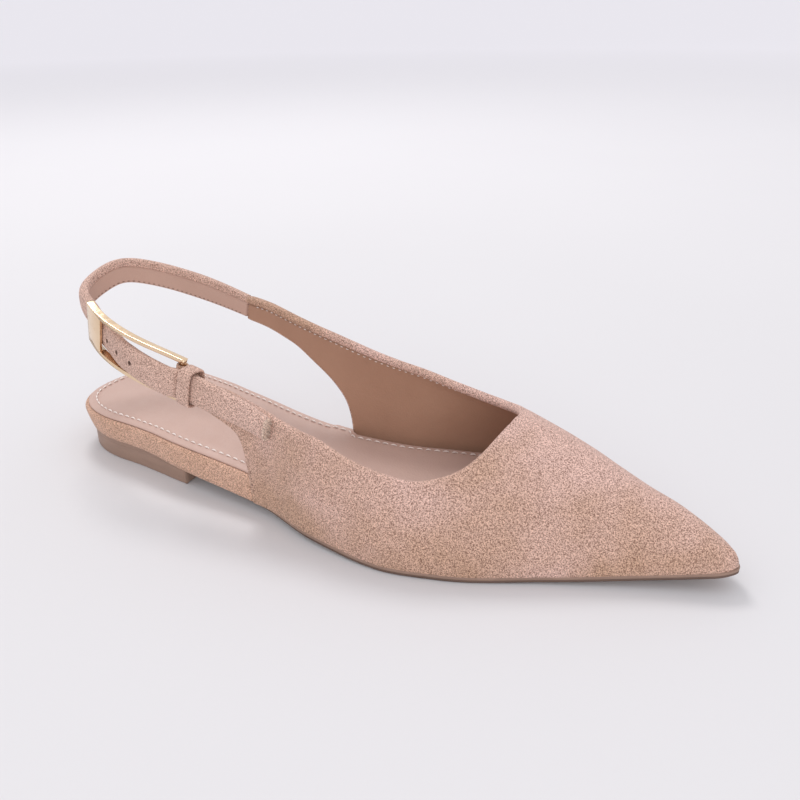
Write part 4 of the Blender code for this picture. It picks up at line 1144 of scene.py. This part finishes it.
def make_strap():
    """Padded suede strap, lined inside below its rolled edge, raw at its cut end, with its holes."""
    rings = []
    for at in np.linspace(SEAM_GAP, STRAP_LENGTH - 0.0004, STRAP_STEPS):
        end = 1 - 0.10 * float(blend(STRAP_LENGTH - 0.004, STRAP_LENGTH, at))
        half = float(ease(STRAP_WIDTHS, "width", at)) / 2 * end
        crown = float(ease(STRAP_WIDTHS, "crown", at)) * end
        section = strap_section(half, -STRAP_THICK / 2, -STRAP_THICK / 2 + crown)
        rings.append(placed(strap_point(np.full(len(section), at), section[:, 0], section[:, 1])))
    lined = FRONT_POINTS + round((ROLL_EDGE + BACK_HALF) / (2 * BACK_HALF) * BACK_POINTS)

    def pick(ring, place):
        if place == END:
            return 2 if ring else 1
        return 1 if FRONT_POINTS - 1 <= place < lined else 0

    mesh = mesh_from("padded_strap", *tube(rings, pick=pick))
    # The last slot takes the holes' walls from the cut, painted dark as shade
    skins = [SUEDE_STRAP, EDGE_SKIN, RAW, DARK_THREAD_AND_HOLE_SHADE]
    obj = publish("padded_strap", mesh, skins, ["heel_strap"])
    for k in range(HOLES):
        at = STUD_AT + k * HOLE_PITCH
        cut(obj, rod(*placed([strap_point(at, -STRAP_THICK), strap_point(at, STRAP_THICK)]), HOLE_RADIUS))


def rod(start, end, radius):
    ring = radius * circle(unit(end - start), 24)
    points, faces, _ = tube([start + ring, end + ring])
    return mesh_from("rod", points, faces)


def cut(obj, mesh):
    """Takes a closed mesh away from a piece, for good. The cut faces get the dark thread's colour as painted
    shade.
    """
    mesh.materials.append(DARK_THREAD_AND_HOLE_SHADE)
    cutter = bpy.data.objects.new("cutter", mesh)
    bpy.context.scene.collection.objects.link(cutter)
    modifier = obj.modifiers.new("cut", "BOOLEAN")
    modifier.operation, modifier.object, modifier.solver = "DIFFERENCE", cutter, "EXACT"
    modifier.material_mode = "TRANSFER"
    result = bpy.data.meshes.new_from_object(obj.evaluated_get(bpy.context.evaluated_depsgraph_get()))
    obj.modifiers.clear()
    old = obj.data
    obj.data = result
    bpy.data.meshes.remove(old)
    bpy.data.objects.remove(cutter)


def strap_threads():
    """Dark stitches along the strap's inside, near its lower edge."""
    at = np.linspace(0.003, PLATE_AT - 0.004, 240)
    low = -ease(STRAP_WIDTHS, "width", at) / 2 * 0.86
    path = strap_point(at, -STRAP_THICK / 2, low)
    inward = strap_point(at, -STRAP_THICK, low) - path
    stitches("strap_thread", path, inward, STRAP_STITCH, 0.2, DARK_THREAD_AND_HOLE_SHADE)


def frayed_end():
    """Short fibres that stand out of the strap's cut end."""
    rng = random.Random(7)
    spread = lambda: rng.uniform(-0.5, 0.5) * 1e-3
    end = STRAP_LENGTH - 0.0006
    ahead = placed(strap_point(end)) - placed(strap_point(end - 0.001))
    fibres = []
    for _ in range(FIBRES):
        up = rng.uniform(-0.92, 0.92) * STRAP_END / 2 * 0.9
        out = rng.uniform(-0.9, 0.55 + 0.35 * (1 - abs(up) / STRAP_END * 2)) * STRAP_THICK / 2
        root = placed(strap_point(end, out, up))
        tip = placed(strap_point(end, out + spread(), up + spread()))
        tip = tip + ahead * rng.uniform(0.6, 2.0)
        middle = (root + tip) / 2 + np.array([rng.uniform(-1, 1) for _ in range(3)]) * 1.5e-4
        ring = circle(unit(tip - root), 4, (0.1, 0.3, 1.0))
        fibres.append(tube([root + 1.5e-4 * ring, middle + 1.3e-4 * ring, tip + 6e-5 * ring]))
    publish("frayed_end", mesh_from("frayed_end", *joined(fibres)), [RAW])


def make_keeper():
    """Suede band round the strap's end, with rounded corners and soft edges."""
    middle_at = BAR_AT + CLOSING + KEEPER_WIDTH / 2
    out = KEEPER_LAYER + STRAP_THICK / 2 + 2 * CLEARANCE
    back = -(FOLD_CLOSED + 2 * CLEARANCE)
    middle, depth, half = (out + back) / 2, (out - back) / 2, KEEPER_OPENING / 2
    corner = 2 / 5
    rings = []
    for turn in 2 * math.pi * np.arange(72) / 72:
        x, y = math.cos(turn), math.sin(turn)
        spot = np.array([middle + depth * bent(x, corner), half * bent(y, corner)])
        facing = unit([bent(x, 2 - corner) / depth, bent(y, 2 - corner) / half])
        ring = []
        for a in 2 * math.pi * np.arange(20) / 20:
            place = spot + facing * (bent(math.sin(a), 0.6) + 1) / 2 * KEEPER_THICK
            slide = bent(math.cos(a), 0.35) * KEEPER_WIDTH / 2
            ring.append(base_point(middle_at + slide, place[0], place[1]))
        rings.append(placed(ring))
    points, faces, _ = tube(rings, closed=True)
    mesh = mesh_from("suede_keeper", points, faces)
    publish("suede_keeper", mesh, [SUEDE_STRAP], ["keeper_loop"])


def frame_path():
    """The frame's way round: inner and outer edge as length and height, back and front as distances."""
    half_in, thick = FRAME_OPENING / 2, FRAME_THICK / 2
    half_out = half_in + FRAME_BAR
    window_end, frame_end = BAR_AT - END_BAR, BAR_AT + END_BAR
    path = []
    for side in (1, -1):
        for s in np.linspace(0, 1, 71)[::side]:
            path.append((PLATE_END + (window_end - PLATE_END) * s, side * half_in,
                         PLATE_AT + (frame_end - PLATE_AT) * s, side * half_out, -thick, thick))
        for height in np.linspace(1, -1, 9) * (half_in - CLEARANCE) * side:
            if side == 1:
                path.append((window_end, height, frame_end, height, -END_BAR, END_BAR))
            else:
                path.append((PLATE_END, height, PLATE_AT, height, thick - PLATE_THICK, thick))
    return path


def make_buckle():
    """Polished frame bent along the strap: deep long bars, thin plate outside, thin end bar, stud and pin."""
    rings = []
    for at_in, up_in, at_out, up_out, back, front in frame_path():
        one, two = np.array((at_in, up_in)), np.array((at_out, up_out))
        width = np.linalg.norm(two - one)
        soft = min(METAL_SOFT, width * 0.3, (front - back) * 0.3)
        ring = []
        for far, ahead, first in ((1, 1, 0), (0, 1, 90), (0, 0, 180), (1, 0, 270)):
            for degrees in range(first, first + 91, 30):
                a = math.radians(degrees)
                across = (width - soft if far else soft) + soft * math.cos(a)
                depth = (front - soft if ahead else back + soft) + soft * math.sin(a)
                spot = one + (two - one) * across / width
                ring.append(base_point(spot[0], depth, spot[1]))
        rings.append(placed(ring))
    points, faces, _ = tube(rings, closed=True)
    publish("gold_frame", mesh_from("gold_frame", points, faces), [GOLD], ["buckle"])
    root = base_point(STUD_AT, FRAME_THICK / 2 - PLATE_THICK * 0.8)
    tip = strap_point(STUD_AT, -STRAP_THICK / 2 - STUD_HEAD)
    ball("gold_stud", placed(root), placed(tip), HOLE_RADIUS * 0.98)
    high, low = (base_point(BAR_AT - 0.0002, 0.0, FRAME_OPENING / 2 - down) for down in (0.0002, 0.0012))
    ball("gold_pin_head", placed(high), placed(low), 0.00095)


def ball(name, start, end, radius):
    """Short pin with round ends."""
    axis = unit(end - start)
    ring = circle(axis, 28)
    arc = math.pi / 2 * np.arange(1, 9) / 8
    rings = [start - axis * radius * math.cos(a) + radius * math.sin(a) * ring for a in arc]
    rings += [end + axis * radius * math.cos(a) + radius * math.sin(a) * ring for a in arc[-2::-1]]
    points, faces, _ = tube(rings)
    publish(name, mesh_from(name, points, faces), [GOLD])


# Set
def make_floor():
    """Plain pale floor that turns a little paler away from the shoe."""
    s = Shader("floor", Roughness=0.75, Specular_IOR_Level=0.25)
    away = s.add("ShaderNodeVectorMath", operation="LENGTH")
    s.link(s.where, away.inputs[0])
    near = s.ramp(s.noise(3.0, 3, 0.5), (0.3, (0.700, 0.690, 0.705)), (0.7, (0.712, 0.703, 0.717)))
    far = s.spread(away.outputs["Value"], FLOOR_NEAR, FLOOR_FAR, 0.0, 1.0)
    s.colour(s.mix(near, (0.930, 0.912, 0.950), far))
    s.bump((s.noise(400, 2), 0.00002))
    mesh = bpy.data.meshes.new("floor")
    corners = [(FLOOR_HALF * x, FLOOR_HALF * y, 0) for x, y in ((-1, -1), (1, -1), (1, 1), (-1, 1))]
    mesh.from_pydata(corners, [], [(0, 1, 2, 3)])
    mesh.materials.append(s.material)
    floor = bpy.data.objects.new("floor", mesh)
    bpy.context.scene.collection.objects.link(floor)


def make_light():
    """Soft studio light: a pale sky, a key lamp from above and a weak lamp from the camera's side."""
    scene = bpy.context.scene
    scene.view_settings.view_transform = "Standard"
    world = bpy.data.worlds.new("studio")
    scene.world = world
    world.use_nodes = True
    back = world.node_tree.nodes["Background"]
    back.inputs["Color"].default_value = WORLD_COLOUR
    back.inputs["Strength"].default_value = WORLD_POWER
    for name, place, size, power, colour in LAMPS[1:]:
        lamp = bpy.data.lights.new(name, "AREA")
        lamp.shape = "DISK"
        lamp.size, lamp.energy, lamp.color = size, power, colour
        obj = bpy.data.objects.new(name, lamp)
        obj.location = place
        obj.rotation_euler = (Vector(AIM) - Vector(place)).to_track_quat("-Z", "Y").to_euler()
        scene.collection.objects.link(obj)


def make_camera():
    """Camera at the photo's angle."""
    azimuth, elevation, roll = (math.radians(angle) for angle in CAMERA_ANGLES)
    back = Vector((math.sin(azimuth) * math.cos(elevation), -math.cos(azimuth) * math.cos(elevation),
                   math.sin(elevation)))
    right = Vector((math.cos(azimuth), math.sin(azimuth), 0))
    up = back.cross(right)
    right, up = right * math.cos(roll) + up * math.sin(roll), up * math.cos(roll) - right * math.sin(roll)
    camera = bpy.data.objects.new("camera", bpy.data.cameras.new("camera"))
    camera.data.sensor_width, camera.data.lens = SENSOR, LENS
    camera.data.clip_start, camera.data.clip_end = 0.01, 200.0
    rotation = Matrix((right, up, back)).transposed().to_4x4()
    camera.matrix_world = Matrix.Translation(CAMERA_PLACE) @ rotation
    bpy.context.scene.collection.objects.link(camera)
    bpy.context.scene.camera = camera


make_camera()
make_upper()
upper_stitches()
make_footbed()
make_sock()
make_outsole()
make_heel()
make_strap()
strap_threads()
frayed_end()
make_keeper()
make_buckle()
make_floor()
make_light()
